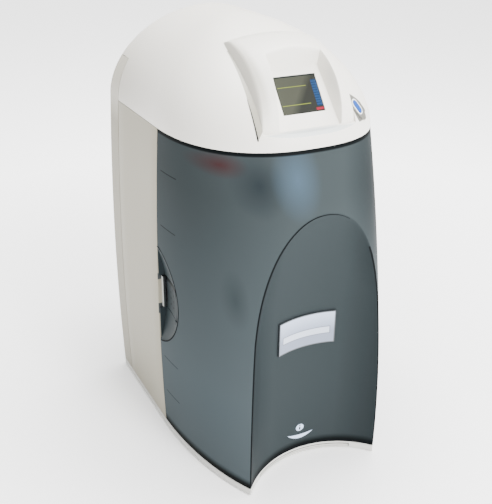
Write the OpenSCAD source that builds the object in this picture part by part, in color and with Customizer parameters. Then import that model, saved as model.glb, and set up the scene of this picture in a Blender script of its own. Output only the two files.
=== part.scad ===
// Bench water purification system: a barrel-sided housing with a domed top, a
// tilted display, a smoked lift-off front door with a concave scoop, and the
// filters, pump and boards behind it. The front faces -Y and the floor is z = 0.

/* [Body] */
// Widest width across the side walls
body_w = 290; // [284:1:300]
// Height of the widest line of the side walls
belly_z = 193; // [160:1:226]
// Radius of the upright bow of the side walls
belly_r = 4350; // [3500:50:8000]
// Height of the seam under the dome
seam_z = 456; // [453:1:467]
// Rise of the dome above the seam
dome_h = 124; // [120:1:132]
// Rear wall, measured from the door's rear edge
body_back = 188; // [184:1:196]
// Radius of the upright rear corners
rear_corner_r = 10; // [6:1:16]
// Upright rear seam, measured from the door's rear edge
rear_seam_y = 146; // [142:1:152]
// Height where the rear seam turns across the back
rear_seam_top = 512; // [502:1:522]
// Wall of the moulded shells
wall = 3; // [2.5:0.1:3.5]
// Gap between neighbouring shells
shell_gap = 0.4; // [0.3:0.05:0.6]
// Width of the turned-in edges of the shells
return_w = 12; // [8:1:15]

/* [Front] */
// Reach of the front curve at the seam
reach_top = 161.8; // [158:0.2:168]
// Reach of the front curve at its foot, before the scoop is cut
reach_base = 273.6; // [268:0.2:280]
// Height of the upright foot of the front curve
front_foot = 7; // [4:0.5:10]
// How late the front leans out on the way down
lean_power = 1.58; // [1.3:0.02:2]
// Squareness of the front curve at the seam
front_square = 2.45; // [2.2:0.05:2.8]
// Centre of the front curve, behind the door's rear edge
front_centre = 10.5; // [5:0.5:15]

/* [Dome] */
// Roundness of the dome's cross-section
dome_round = 1.84; // [1.7:0.02:2.1]
// Front end of the dome's ridge
ridge_front = 65; // [50:1:80]
// Rear end of the dome's ridge
ridge_back = 136; // [125:1:142]

/* [Scoop] */
// Radius of the concave front
scoop_r = 130.2; // [125:0.2:136]
// Deepest line of the concave front, in front of the door's rear edge
scoop_back = 143; // [140:0.5:148]
// Height where the scoop starts to lean out
scoop_bend_z = 213.5; // [206:0.5:222]
// Radius of the scoop's lean
scoop_bend_r = 417; // [390:1:450]

/* [Base] */
// Height of the base plate's underside
base_low = 1.5; // [1:0.1:2.5]
// Thickness of the base plate
base_t = 10.8; // [10:0.2:12]
// Radius of a rubber foot
foot_r = 11; // [9:0.5:13]
// Height of a rubber foot
foot_h = 4; // [3.5:0.1:5]
// Half-width of the card tray
tray_half = 71; // [60:1:74]
// Depth of the card tray behind the scoop
tray_depth = 105; // [80:1:120]
// Thickness of the card tray
tray_t = 3; // [2.5:0.1:3.6]
// Thickness of the card
card_t = 0.6; // [0.4:0.1:1]

/* [Latches] */
// Height of the finger cups' centre
cup_z = 225; // [217:1:233]
// Radius of the finger cups' outline
cup_r = 74; // [66:1:78]
// Centre of the finger cups, behind the door's rear edge
cup_y = 17; // [12:1:22]
// Depth of the finger cups
cup_depth = 12; // [9:0.5:14]
// Turn of the finger cups towards the front
cup_turn = 4.7; // [3:0.1:6]
// Height of a latch lever
lever_h = 48; // [40:1:54]
// Reach of a latch lever in front of the door's rear edge
lever_reach = 50; // [44:1:54]
// Radius of a latch pin
latch_pin_r = 2; // [1.5:0.1:2.5]
// Running clearance round a pin
pin_gap = 0.06; // [0.04:0.01:0.1]
// Thickness of a keeper bar
keeper_t = 3; // [2:0.5:3.5]

/* [Display] */
// Tilt of the screen from the floor
screen_tilt = 52.3; // [46:0.1:58]
// Distance of the screen's centre in front of the door's rear edge
screen_y = 107.9; // [105:0.1:111]
// Height of the screen's centre
screen_z = 509.4; // [506:0.1:513]
// Width of the visible screen
screen_w = 57; // [50:1:60]
// Height of the visible screen
screen_h = 48; // [42:1:52]
// Half-width of the bezel's face at its foot
bezel_half_low = 63.5; // [61:0.5:66]
// Half-width of the bezel's face at its top
bezel_half_top = 57; // [54:0.5:60]
// Rise of the bezel's face at its middle
bezel_crown = 9; // [6:0.5:11]
// Bow of the bezel's foot at its middle
bezel_bow = 7; // [5:0.5:9]
// Squareness of the bezel's curve at its middle
bezel_square = 2.75; // [2.4:0.05:3]
// Depth of the bezel's curve, front to back
bezel_deep = 113.6; // [111:0.2:116]
// Height of the bezel's curve
bezel_tall = 92; // [89:0.5:95]
// Travel of the standby button
button_travel = 1.5; // [1:0.1:2]

/* [Inside] */
// Front face of the chassis, behind the door's rear edge
chassis_y = 8; // [6:0.5:10]
// Thickness of the chassis sheet
chassis_t = 3; // [2:0.5:4]
// Width of the pretreatment pack
pack_w = 84; // [76:1:86]
// Depth of the pretreatment pack
pack_d = 84; // [76:1:86]
// Height of the pretreatment pack
pack_h = 270; // [240:1:280]
// Radius of the membrane housing
ro_r = 34; // [30:0.5:35]
// Length of the membrane housing between its caps
ro_h = 300; // [280:1:310]
// Radius of the pump motor
motor_r = 34; // [30:0.5:36]
// Outer radius of the water tubes
tube_r = 4; // [3.5:0.1:4.4]
// Bore radius of the water tubes
tube_bore_r = 2.7; // [2.3:0.1:3]
// Bend radius of the water tubes
bend_r = 10; // [8:0.5:10.5]

/* [Rear connections] */
// Bore radius of the push-in tube ports
port_bore_r = 4.1; // [3.6:0.1:4.6]
// Depth of the bore in a tube port
port_bore_depth = 15; // [12:0.5:17]
// Depth of the rear connection bay
bay_depth = 25; // [22:0.5:28]
// Half-width of the rear connection bay
bay_half = 72; // [68:0.5:78]
// Height of the connection bay
bay_h = 80; // [76:1:90]

/* [Hidden] */
$fn = 64;

shell_white = "#e6e4de";
panel_cream = "#c4c2b6";
smoke = "#5a6468";
part_grey = "#8d9294";
dark_grey = "#3b3f42";
plain_white = "#f2f2f0";
board_green = "#2f6b45";
metal = "#b9bdc1";
tube_blue = "#9fc4e6";

// Clearance of a piece that sits in a pocket
seat_gap = 0.2;
cut = 1;
base_top = base_low + base_t;
shell_low = base_top + shell_gap;
door_top = seam_z - shell_gap;
chassis_back = chassis_y + chassis_t;
chassis_half = body_w / 2 - 26;
chassis_top = seam_z - 9;
wing_steps = 12;
bowl_steps = 18;
front_steps = 13;
corner_steps = 4;

// Body surface, as functions of the height z and of the inset i from the outer face

function mix(a, b, t) = a + (b - a) * t;
function belly(z) = body_w / 2 - belly_r + sqrt(pow(belly_r, 2) - pow(z - belly_z, 2));
function rise(z, i) = max(0, min(0.9999, (z - seam_z) / (dome_h - i)));
function shrink(z, i) = pow(1 - pow(rise(z, i), dome_round), 1 / dome_round);
function half_w(z, i) = (belly(min(z, seam_z)) - i) * shrink(z, i);
function climb(z) = max(0, min(1, (z - front_foot) / (seam_z - front_foot)));
function lean(z) = pow(climb(z), lean_power);
function reach(z, i) = (mix(reach_base, reach_top, lean(z)) - i) * shrink(z, i);
function centre_y(z, i) = mix(ridge_front, front_centre, shrink(z, i));
function square_n(z) = mix(2, front_square, pow(climb(z), 2));
function back_y(z, i) = mix(ridge_back, body_back - i, shrink(z, i));
function front_curve(t, z, i) = [
    half_w(z, i) * pow(max(0, cos(t)), 2 / square_n(z)),
    centre_y(z, i) - reach(z, i) * pow(max(0, sin(t)), 2 / square_n(z))
];
function front_y(x, z, i) = centre_y(z, i) - reach(z, i)
    * pow(max(0, 1 - pow(abs(x) / half_w(z, i), square_n(z))), 1 / square_n(z));

// Concave front: an upright cylinder that turns into a ring bent towards the front
scoop_axis_y = -scoop_back - scoop_bend_r;
scoop_ring_r = scoop_bend_r - scoop_r;
function scoop_y(x, z, i) = scoop_axis_y + sqrt(
    pow(scoop_ring_r + sqrt(max(0, pow(scoop_r + i, 2) - x * x)), 2)
    - pow(max(0, z - scoop_bend_z), 2));
function scoop_over(x, z, i) = scoop_y(x, z, i) - front_y(x, z, i);

// Half-width of the scoop's mouth at a height, found by halving
function tip_x(z, i, lo, hi, n) = n == 0 ? (lo + hi) / 2
    : let (mid = (lo + hi) / 2)
      scoop_over(mid, z, i) > 0 ? tip_x(z, i, mid, hi, n - 1) : tip_x(z, i, lo, mid, n - 1);

// Height of the top of the scoop's mouth, found by halving
function apex_z(i, lo, hi, n) = n == 0 ? (lo + hi) / 2
    : let (mid = (lo + hi) / 2)
      scoop_over(0, mid, i) > 0 ? apex_z(i, mid, hi, n - 1) : apex_z(i, lo, mid, n - 1);
scoop_apex = apex_z(0, scoop_bend_z, seam_z, 30);
apex_spread = 9.4;
function split_x(z, i) = scoop_over(0, z, i) > 0.05
    ? tip_x(z, i, 0, scoop_r + i - 1, 30)
    : apex_spread * sqrt(max(0.3, z - scoop_apex));

// Door outline at a height, from the right rear edge round the front to the left
function wing(z, i, edge) =
    let (n = square_n(z))
    let (from = asin(pow((centre_y(z, i) + edge) / reach(z, i), n / 2)))
    let (to = acos(pow(split_x(z, i) / half_w(z, i), n / 2)))
    [for (k = [0:wing_steps]) front_curve(mix(from, to, k / wing_steps), z, i)];
function bowl(z, i) =
    let (half = split_x(z, i))
    let (turn = asin(min(1, half / (scoop_r + i))))
    [for (k = [1:bowl_steps - 1])
        let (x = (scoop_r + i) * sin(turn * (1 - 2 * k / bowl_steps)))
        [x, max(scoop_y(x, z, i), front_y(x, z, i))]];
function flipped(path) = [for (k = [len(path) - 1:-1:0]) [-path[k][0], path[k][1]]];
function door_outline(z, i, edge) =
    let (side = wing(z, i, edge)) concat(side, bowl(z, i), flipped(side));
function lift(path, z) = [for (p = path) [p[0], p[1], z]];

// Right half of the top cover's outline, from the back round to the front
seam_corner_r = 1;
function cover_half(z, i, limit) =
    let (back = min(back_y(z, i), limit - i))
    let (r = back_y(z, i) > limit - i ? seam_corner_r : min(rear_corner_r, half_w(z, i) * 0.8))
    concat(
        [[0, back]],
        [for (k = [0:corner_steps])
            let (t = 90 - 90 * k / corner_steps)
            [half_w(z, i) - r + r * cos(t), back - r + r * sin(t)]],
        [for (k = [0:front_steps - 1]) front_curve(90 * k / front_steps, z, i)],
        [front_curve(90, z, i)]);
function cover_outline(z, i, limit) =
    let (right = cover_half(z, i, limit))
    concat(right, [for (k = [len(right) - 2:-1:1]) [-right[k][0], right[k][1]]]);

// Outline of the rear housing, from the left seam round the back to the right
function rear_outline(z, i) =
    let (hw = half_w(z, i), back = back_y(z, i), r = rear_corner_r)
    let (right = concat(
        [for (k = [0:corner_steps])
            let (t = 90 - 90 * k / corner_steps)
            [hw - r + r * cos(t), back - r + r * sin(t)]],
        [[hw, rear_seam_y + shell_gap]]))
    concat(flipped(right), right);

// Side panel channel, from its rear return to its front return
function panel_outline(z, i) =
    let (hw = belly(z), front = shell_gap + i, back = rear_seam_y - i)
    [[hw - return_w, back], [hw - i, back], [hw - i, front], [hw - return_w, front]];

// Closed solids from rows of points

function flat(rows) = [for (r = rows) for (p = r) p];
function quad(a, b, c, d) = [[a, b, c], [a, c, d]];

// A shell between two stacks of open rows
module open_shell(outer, inner) {
    rows = len(outer);
    cols = len(outer[0]);
    far = rows * cols;
    skin = [for (r = [0:rows - 2]) for (c = [0:cols - 2])
        let (a = r * cols + c)
        each concat(
            quad(a, a + 1, a + cols + 1, a + cols),
            quad(far + a + cols, far + a + cols + 1, far + a + 1, far + a))];
    low = [for (c = [0:cols - 2]) each quad(c + 1, c, far + c, far + c + 1)];
    top_row = (rows - 1) * cols;
    high = [for (c = [0:cols - 2])
        let (a = top_row + c) each quad(a, a + 1, far + a + 1, far + a)];
    ends = [for (r = [0:rows - 2])
        let (a = r * cols, b = r * cols + cols - 1)
        each concat(quad(a, a + cols, far + a + cols, far + a),
                    quad(b + cols, b, far + b, far + b + cols))];
    polyhedron(concat(flat(outer), flat(inner)), concat(skin, low, high, ends), 10);
}

// A capped shell between two stacks of closed rows, open at its foot
module capped_shell(outer, inner) {
    rows = len(outer);
    cols = len(outer[0]);
    far = rows * cols;
    skin = [for (r = [0:rows - 2]) for (c = [0:cols - 1])
        let (a = r * cols + c, b = r * cols + (c + 1) % cols)
        each concat(
            quad(a, b, b + cols, a + cols),
            quad(far + a + cols, far + b + cols, far + b, far + a))];
    low = [for (c = [0:cols - 1])
        let (b = (c + 1) % cols) each quad(b, c, far + c, far + b)];
    top_row = (rows - 1) * cols;
    caps = [
        [for (c = [0:cols - 1]) top_row + c],
        [for (c = [cols - 1:-1:0]) far + top_row + c]];
    polyhedron(concat(flat(outer), flat(inner)), concat(skin, low, caps), 10);
}

// A solid through a stack of closed rows
module loft(rows_of_points) {
    rows = len(rows_of_points);
    cols = len(rows_of_points[0]);
    skin = [for (r = [0:rows - 2]) for (c = [0:cols - 1])
        let (a = r * cols + c, b = r * cols + (c + 1) % cols)
        each quad(a, b, b + cols, a + cols)];
    caps = [
        [for (c = [cols - 1:-1:0]) c],
        [for (c = [0:cols - 1]) (rows - 1) * cols + c]];
    polyhedron(flat(rows_of_points), concat(skin, caps), 10);
}

module box(low, high) {
    translate(low)
        cube(high - low);
}

module rod(from, r, h, axis = "z") {
    translate(from)
        rotate(axis == "x" ? [0, 90, 0] : axis == "y" ? [-90, 0, 0] : [0, 0, 0])
            cylinder(r = r, h = h);
}

module both_sides() {
    children();
    mirror([1, 0, 0])
        children();
}

module round_plate(w, h, r, t) {
    linear_extrude(t)
        union() {
            square([w - 2 * r, h], center = true);
            square([w, h - 2 * r], center = true);
            for (x = [-1, 1], y = [-1, 1])
                translate([x * (w / 2 - r), y * (h / 2 - r)])
                    circle(r);
        }
}

// Base

foot_x = 95;
foot_front_y = -140;
foot_rear_y = body_back - 33;
module foot_spots() {
    for (x = [-1, 1]) {
        translate([x * foot_x, foot_front_y, 0])
            children();
        translate([x * (foot_x + 10), foot_rear_y, 0])
            children();
    }
}

tray_lift = 3.6;
tray_recess = 1;
tray_low = base_low + tray_lift;
tray_back_y = -scoop_back + tray_depth;
module base_outline_2d() {
    rear = [for (k = [0:corner_steps])
        let (t = 90 * k / corner_steps)
        [-half_w(base_top, 0) + rear_corner_r * (1 - cos(t)), body_back - rear_corner_r * (1 - sin(t))]];
    polygon(concat(door_outline(base_top, 0, 0), rear, flipped(rear)));
}

module base_plate() {
    color(shell_white)
        difference() {
            translate([0, 0, base_low])
                linear_extrude(base_t)
                    base_outline_2d();
            foot_spots()
                cylinder(r = foot_r + seat_gap, h = foot_h + seat_gap);
            box([-tray_half - shell_gap, -body_back - cut, tray_low - shell_gap],
                [tray_half + shell_gap, tray_back_y + shell_gap, tray_low + tray_t + shell_gap]);
        }
}

module feet() {
    color(dark_grey)
        foot_spots()
            cylinder(r = foot_r, h = foot_h);
}

// Stretch of the tray behind the scoop's edge
module tray_2d(inset) {
    difference() {
        translate([-tray_half + inset, -body_back])
            square([2 * (tray_half - inset), body_back + tray_back_y - inset]);
        translate([0, -scoop_back - scoop_r])
            circle(scoop_r + tray_recess + inset, $fn = 180);
    }
}

module card_tray() {
    color(shell_white)
        difference() {
            translate([0, 0, tray_low])
                linear_extrude(tray_t)
                    tray_2d(0);
            translate([0, 0, tray_low + tray_t - card_t - seat_gap])
                linear_extrude(card_t + cut)
                    tray_2d(4);
        }
}

module info_card() {
    color(plain_white)
        translate([0, 0, tray_low + tray_t - card_t - seat_gap])
            linear_extrude(card_t)
                tray_2d(4 + seat_gap);
}

// Side panels

panel_rows = [for (k = [0:9]) mix(shell_low, door_top, k / 9)];
module right_panel_shell() {
    open_shell([for (z = panel_rows) lift(panel_outline(z, 0), z)],
               [for (z = panel_rows) lift(panel_outline(z, wall), z)]);
}

module right_side_panel() {
    color(panel_cream)
        right_panel_shell();
}

module left_side_panel() {
    color(panel_cream)
        mirror([1, 0, 0])
            right_panel_shell();
}

// Rear housing and its connection bay

bay_mid_z = 85;
bay_floor = bay_mid_z - bay_h / 2;
bay_roof = bay_mid_z + bay_h / 2;
panel_face_y = body_back - bay_depth;
grille_half = 62;
grille_low = 322;
grille_high = 431;
vent_count = 9;
vent_half = 55;
vent_slot = 4.5;
vent_pitch = (grille_high - grille_low) / (vent_count + 1);
rear_rows = concat(
    [for (k = [0:7]) mix(shell_low, seam_z, k / 7)],
    [for (k = [1:4]) mix(seam_z, rear_seam_top - shell_gap, k / 4)]);
module rear_housing() {
    color(panel_cream)
        difference() {
            open_shell([for (z = rear_rows) lift(rear_outline(z, 0), z)],
                       [for (z = rear_rows) lift(rear_outline(z, wall), z)]);
            box([-bay_half, body_back - wall - cut, bay_floor],
                [bay_half, body_back + cut, bay_roof]);
            box([-grille_half, body_back - wall - cut, grille_low],
                [grille_half, body_back + cut, grille_high]);
        }
}

module rear_grille() {
    color(part_grey)
        difference() {
            box([-grille_half + seat_gap, body_back - wall, grille_low + seat_gap],
                [grille_half - seat_gap, body_back - seat_gap, grille_high - seat_gap]);
            for (k = [1:vent_count])
                box([-vent_half, body_back - wall - cut, grille_low + k * vent_pitch - vent_slot / 2],
                    [vent_half, body_back + cut, grille_low + k * vent_pitch + vent_slot / 2]);
        }
}

// Top cover

cover_low = seam_z + shell_gap;
ledge_step = 0.8;
crown_angle = 5;
function cover_rows(i) =
    let (ledge = rear_seam_top + i)
    let (first = acos(rise(ledge + ledge_step, i)))
    concat(
        [for (k = [0:4])
            let (z = mix(cover_low, ledge, k / 4)) lift(cover_outline(z, i, rear_seam_y), z)],
        [for (k = [0:9])
            let (z = seam_z + (dome_h - i) * cos(mix(first, crown_angle, k / 9)))
            lift(cover_outline(z, i, 2 * body_back), z)]);
module dome_solid(i) {
    loft([for (k = [0:12])
        let (z = seam_z + (dome_h - i) * cos(mix(90, crown_angle, k / 12)))
        lift(cover_outline(z, i, 2 * body_back), z)]);
}

module top_cover() {
    color(shell_white)
        difference() {
            capped_shell(cover_rows(0), cover_rows(wall));
            bezel_loft(bezel_ledge);
            screen_pocket(wall + shell_gap);
            mouth(seat_gap, wall + seat_gap, screen_z);
            key_opening();
        }
}

// Display bezel: a crowned visor on the dome, with a pocket down to the screen

bezel_foot_z = screen_z - 39.4;
bezel_axis_y = 87.9 - screen_y;
bezel_ledge = 6;
bezel_drop = 10;
bezel_first_angle = 9;
bezel_arc_steps = 12;
bezel_cross_steps = 10;
bezel_side_drop = 28;
bezel_side_draft = 8;
bezel_edge_drop = 2.5;
bezel_edge_draft = 1;
function bezel_half(z) = mix(bezel_half_low, bezel_half_top, (z - bezel_foot_z) / bezel_tall);
function bezel_section(u, drop, draft, i) =
    let (swell = 1 - u * u, power = 2 / mix(2, bezel_square, swell))
    let (deep = bezel_deep + bezel_bow * swell - drop - i)
    let (tall = bezel_tall + bezel_crown * swell - drop - i)
    let (arc = [for (k = [0:bezel_arc_steps])
        let (t = mix(bezel_first_angle, 90, k / bezel_arc_steps))
        [bezel_axis_y - deep * pow(sin(t), power), bezel_foot_z + tall * pow(max(0, cos(t)), power)]])
    let (profile = concat([[bezel_axis_y + bezel_drop, arc[0][1] - bezel_drop]], arc,
        [[bezel_axis_y - deep, bezel_foot_z - bezel_drop],
         [bezel_axis_y + bezel_drop, bezel_foot_z - bezel_drop]]))
    [for (p = profile) [u * (bezel_half(p[1]) - i) + sign(u) * draft, p[0], p[1]]];
module bezel_loft(i) {
    face = [for (k = [0:bezel_cross_steps]) 0.98 * (1 - 2 * k / bezel_cross_steps)];
    loft(concat(
        [bezel_section(1, bezel_side_drop, bezel_side_draft, i),
         bezel_section(1, bezel_edge_drop, bezel_edge_draft, i)],
        [for (u = face) bezel_section(u, 0, 0, i)],
        [bezel_section(-1, bezel_edge_drop, bezel_edge_draft, i),
         bezel_section(-1, bezel_side_drop, bezel_side_draft, i)]));
}

module at_screen() {
    translate([0, -screen_y, screen_z])
        rotate([screen_tilt, 0, 0])
            children();
}

// Pocket that flares from the screen's border out to the bezel's face
pocket_side = 4;
pocket_foot_side = 12;
pocket_above = 10;
pocket_below = 19;
pocket_reach = 50;
pocket_side_flare = 8;
pocket_top_flare = 45;
module screen_pocket(grow) {
    head = screen_w / 2 + pocket_side + grow;
    foot = screen_w / 2 + pocket_foot_side + grow;
    low = -screen_h / 2 - pocket_below - grow;
    high = screen_h / 2 + pocket_above + grow;
    out = pocket_side_flare;
    up = pocket_top_flare;
    at_screen()
        loft([
            [[head, high, -grow], [foot, low, -grow], [-foot, low, -grow], [-head, high, -grow]],
            [[head + out, high + up, pocket_reach], [foot + out, low - out, pocket_reach],
             [-foot - out, low - out, pocket_reach], [-head - out, high + up, pocket_reach]]]);
}

// Sloping sill below the pocket, and the mouth above it in the top cover
sill_y = -screen_y - 29.1;
sill_z = screen_z - 34.4;
sill_slope = 0.367;
sill_rear_y = -screen_y - 18;
function sill_at(y) = sill_z + sill_slope * (y - sill_y);
module mouth(grow, drop, top) {
    half = bezel_half_low - 0.5 + grow;
    translate([-half, 0, 0])
        rotate([90, 0, 90])
            linear_extrude(2 * half)
                polygon([[sill_rear_y + grow, sill_at(sill_rear_y) - drop],
                         [-body_back, sill_at(-body_back) - drop],
                         [-body_back, top], [sill_rear_y + grow, top]]);
}

module display_bezel() {
    color(shell_white)
        difference() {
            union() {
                difference() {
                    bezel_loft(0);
                    bezel_loft(wall);
                    difference() {
                        dome_solid(-shell_gap);
                        mouth(0, 0, screen_z);
                    }
                }
                intersection() {
                    bezel_loft(wall / 2);
                    screen_pocket(wall);
                }
                intersection() {
                    dome_solid(0);
                    difference() {
                        mouth(0, wall, screen_z);
                        mouth(cut, 0, 2 * screen_z);
                    }
                }
            }
            screen_pocket(0);
            key_opening();
            at_screen()
                translate([0, 0, -wall - cut])
                    linear_extrude(wall + 2 * cut)
                        square([screen_w, screen_h], center = true);
            screen_layer(window_lip, wall, lens_border + 2 * seat_gap);
        }
}

lens_t = 2;
lens_border = 5;
window_lip = 0.8;
lcd_t = 6;
board_t = 1.6;
module screen_layer(depth, t, grow) {
    at_screen()
        translate([0, 0, -depth - t])
            linear_extrude(t)
                square([screen_w + grow, screen_h + grow], center = true);
}

lens_depth = window_lip + seat_gap;
lcd_depth = lens_depth + lens_t + seat_gap;
display_board_depth = lcd_depth + lcd_t + seat_gap;
module screen_lens() {
    color(dark_grey)
        screen_layer(lens_depth, lens_t, lens_border);
}

module lcd_module() {
    color(metal)
        screen_layer(lcd_depth, lcd_t, 7);
}

module display_board() {
    color(board_green)
        union() {
            screen_layer(display_board_depth, board_t, 10);
            at_screen()
                translate([0, 0, -display_board_depth - board_t - 4])
                    linear_extrude(4)
                        for (x = [-18, 0, 18])
                            translate([x, -8])
                                square([12, 12], center = true);
        }
}

// Key panel: a leaf-shaped plate set in the dome beside the bezel, with one button

key_room = 6.506;
key_x = bezel_half_low + key_room;
key_z = seam_z + 34.5;
key_proud = 0.88;
key_y = front_y(key_x, key_z, 0) - key_proud;
key_turn = 29;
key_lift = 31;
key_spin = 24;
key_depth = 5;
leaf_left_r = 34;
leaf_left_w = 8;
leaf_right_r = 24;
leaf_right_w = 11.5;
button_long = 19;
button_wide = 9;
ring_w = 1.3;
module at_key_panel() {
    translate([key_x, key_y, key_z])
        rotate([0, 0, key_turn])
            rotate([90 - key_lift, 0, 0])
                rotate([0, 0, key_spin])
                    children();
}

// Leaf between two arcs, pointed at its upper and lower ends
module offset_leaf(grow) {
    intersection() {
        translate([leaf_right_w - leaf_right_r, 0])
            circle(leaf_right_r + grow);
        translate([leaf_left_r - leaf_left_w, 0])
            circle(leaf_left_r + grow, $fn = 120);
    }
}

module key_opening() {
    at_key_panel()
        translate([0, 0, -key_depth - cut])
            linear_extrude(2 * key_depth + cut)
                offset_leaf(seat_gap);
}

module stadium(length, width) {
    union() {
        square([width, length - width], center = true);
        for (y = [-1, 1])
            translate([0, y * (length - width) / 2])
                circle(width / 2);
    }
}

button_pocket = 4;
module key_panel() {
    color(part_grey)
        at_key_panel()
            difference() {
                translate([0, 0, -key_depth])
                    linear_extrude(key_depth + 0.6)
                        offset_leaf(0);
                translate([0, 0, -button_pocket])
                    linear_extrude(button_pocket + 2 * cut)
                        stadium(button_long + 2 * ring_w + 2 * seat_gap,
                                button_wide + 2 * ring_w + 2 * seat_gap);
            }
}

module button_ring() {
    color(plain_white)
        at_key_panel()
            translate([0, 0, -button_pocket])
                linear_extrude(button_pocket + 1)
                    difference() {
                        stadium(button_long + 2 * ring_w, button_wide + 2 * ring_w);
                        stadium(button_long, button_wide);
                    }
}

module standby_button() {
    color("#4d86c6")
        at_key_panel()
            translate([0, 0, -button_pocket + button_travel + seat_gap])
                linear_extrude(button_pocket - button_travel - seat_gap + 1.4)
                    stadium(button_long - 2 * shell_gap, button_wide - 2 * shell_gap);
}

// Front door: a smoked shell whose concave front meets the convex wings

door_low = shell_low;
apex_step = 0.5;
door_edge = shell_gap;
flange_step = 0.3;
door_rows = concat(
    [door_low, door_low + wall],
    [for (k = [0:4]) mix(door_low + wall + flange_step, scoop_bend_z, k / 5)],
    [for (k = [0:9]) mix(scoop_bend_z, scoop_apex - apex_step, sin(90 * k / 9))],
    [for (k = [0:5]) mix(scoop_apex + apex_step, door_top - wall - flange_step, pow(k / 5, 1.3))],
    [door_top - wall, door_top]);
module door_shell() {
    last = len(door_rows) - 1;
    open_shell(
        [for (z = door_rows) lift(door_outline(z, 0, door_edge), z)],
        [for (k = [0:last])
            let (z = door_rows[k], i = k < 2 || k > last - 2 ? return_w : wall)
            lift(door_outline(z, i, door_edge), z)]);
}

// Frame of the right finger cup: its X axis points out of the cup's mouth
cup_plane_x = belly(cup_z) - 0.2;
cup_ball_r = (cup_r * cup_r + cup_depth * cup_depth) / (2 * cup_depth);
cup_inner = 30;
cup_outer = 20;
module at_cup() {
    translate([cup_plane_x, 0, cup_z])
        rotate([0, 0, -cup_turn])
            translate([0, cup_y, 0])
                children();
}

module cup_ball(grow) {
    at_cup()
        translate([cup_ball_r - cup_depth, 0, 0])
            sphere(cup_ball_r + grow, $fn = 200);
}

module cup_outline(grow, inner, outer) {
    at_cup()
        rod([-inner, 0, 0], cup_r + grow, inner + outer, "x");
}

rib_heights = [73, 131, 331, 405];
rib_from = 20;
rib_to = 52;
rib_deep = 9;
rib_t = 2.4;
function rib_band(z, i) =
    let (n = square_n(z))
    let (a = asin(pow((centre_y(z, i) + rib_from) / reach(z, i), n / 2)))
    let (b = asin(pow((centre_y(z, i) + rib_to) / reach(z, i), n / 2)))
    [for (k = [0:3]) front_curve(mix(a, b, k / 3), z, i)];
module door_rib(z) {
    outer = [for (h = [z, z + rib_t]) lift(rib_band(h, wall / 2), h)];
    inner = [for (h = [z, z + rib_t]) lift(rib_band(h, rib_deep), h)];
    open_shell(outer, inner);
}

module front_door() {
    color(smoke, 0.85)
        difference() {
            union() {
                door_shell();
                both_sides()
                    for (z = rib_heights)
                        door_rib(z);
            }
            both_sides()
                cup_outline(shell_gap, cup_inner, cup_outer);
        }
}

// Blank plate on the concave front
plate_half_turn = 19.3;
plate_low = 183;
plate_high = 230.5;
plate_t = 2.4;
plate_gap = 0.9;
module door_plate() {
    color("#d9e3ea")
        translate([0, -scoop_back - scoop_r, plate_low])
            rotate([0, 0, 90 - plate_half_turn])
                rotate_extrude(angle = 2 * plate_half_turn, $fn = 240)
                    translate([scoop_r - plate_gap - plate_t, 0])
                        square([plate_t, plate_high - plate_low]);
}

// Finger cups and squeeze latches in the door's rear edges

lever_low = cup_z + 3.5 - lever_h / 2;
lever_rear = 3;
slot_gap = 1;
pin_y = -lever_reach + 4;
pin_x = cup_plane_x - 11;
lug_h = 7;
// Wall that closes the cup towards the side panel, above and below the lever
cup_back_t = 1.6;
cup_back_inset = 1;
lug_seat = 1.2;
barrel_r = latch_pin_r + 2.2;
module cup_skin(thick) {
    difference() {
        cup_ball(thick);
        cup_ball(0);
    }
}

module right_cup() {
    difference() {
        intersection() {
            union() {
                cup_skin(wall);
                for (z = [lever_low - slot_gap - lug_h, lever_low + lever_h + slot_gap])
                    box([pin_x - barrel_r, pin_y - barrel_r, z],
                        [pin_x + barrel_r + lug_seat, pin_y + barrel_r, z + lug_h]);
                box([cup_plane_x - cup_depth - wall, -door_edge - cup_back_t, cup_z - cup_r],
                    [cup_plane_x - cup_back_inset, -door_edge, cup_z + cup_r]);
            }
            cup_outline(0, cup_inner, cup_outer);
            box([0, -body_back, 0], [body_w, -door_edge, seam_z]);
        }
        box([pin_x - 12, pin_y - barrel_r - slot_gap, lever_low - slot_gap],
            [body_w, body_back, lever_low + lever_h + slot_gap]);
        rod([pin_x, pin_y, lever_low - 20], latch_pin_r + pin_gap, lever_h + 40);
    }
}

module right_lever() {
    difference() {
        union() {
            intersection() {
                cup_skin(wall);
                box([0, pin_y, lever_low], [body_w, -lever_rear, lever_low + lever_h]);
            }
            rod([pin_x, pin_y, lever_low], barrel_r, lever_h);
            box([pin_x, pin_y - barrel_r, lever_low], [pin_x + barrel_r, pin_y, lever_low + lever_h]);
        }
        cup_ball(0);
        rod([pin_x, pin_y, lever_low - cut], latch_pin_r + pin_gap, lever_h + 2 * cut);
    }
}

module right_pin() {
    rod([pin_x, pin_y, lever_low - slot_gap - lug_h], latch_pin_r, lever_h + 2 * slot_gap + 2 * lug_h);
}

module right_finger_cup() {
    color(smoke)
        right_cup();
}

module left_finger_cup() {
    color(smoke)
        mirror([1, 0, 0])
            right_cup();
}

module right_latch_lever() {
    color(dark_grey)
        right_lever();
}

module left_latch_lever() {
    color(dark_grey)
        mirror([1, 0, 0])
            right_lever();
}

module latch_pins() {
    color(metal)
        both_sides()
            right_pin();
}

// Bars on the side panels that the latches hold to
keeper_x = cup_plane_x - 8.3;
keeper_reach = 5;
module door_keepers() {
    color(panel_cream)
        both_sides()
            box([keeper_x, -keeper_reach, lever_low + 1],
                [keeper_x + keeper_t, shell_gap, lever_low + lever_h - 1]);
}

// Places of the pieces inside

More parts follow.
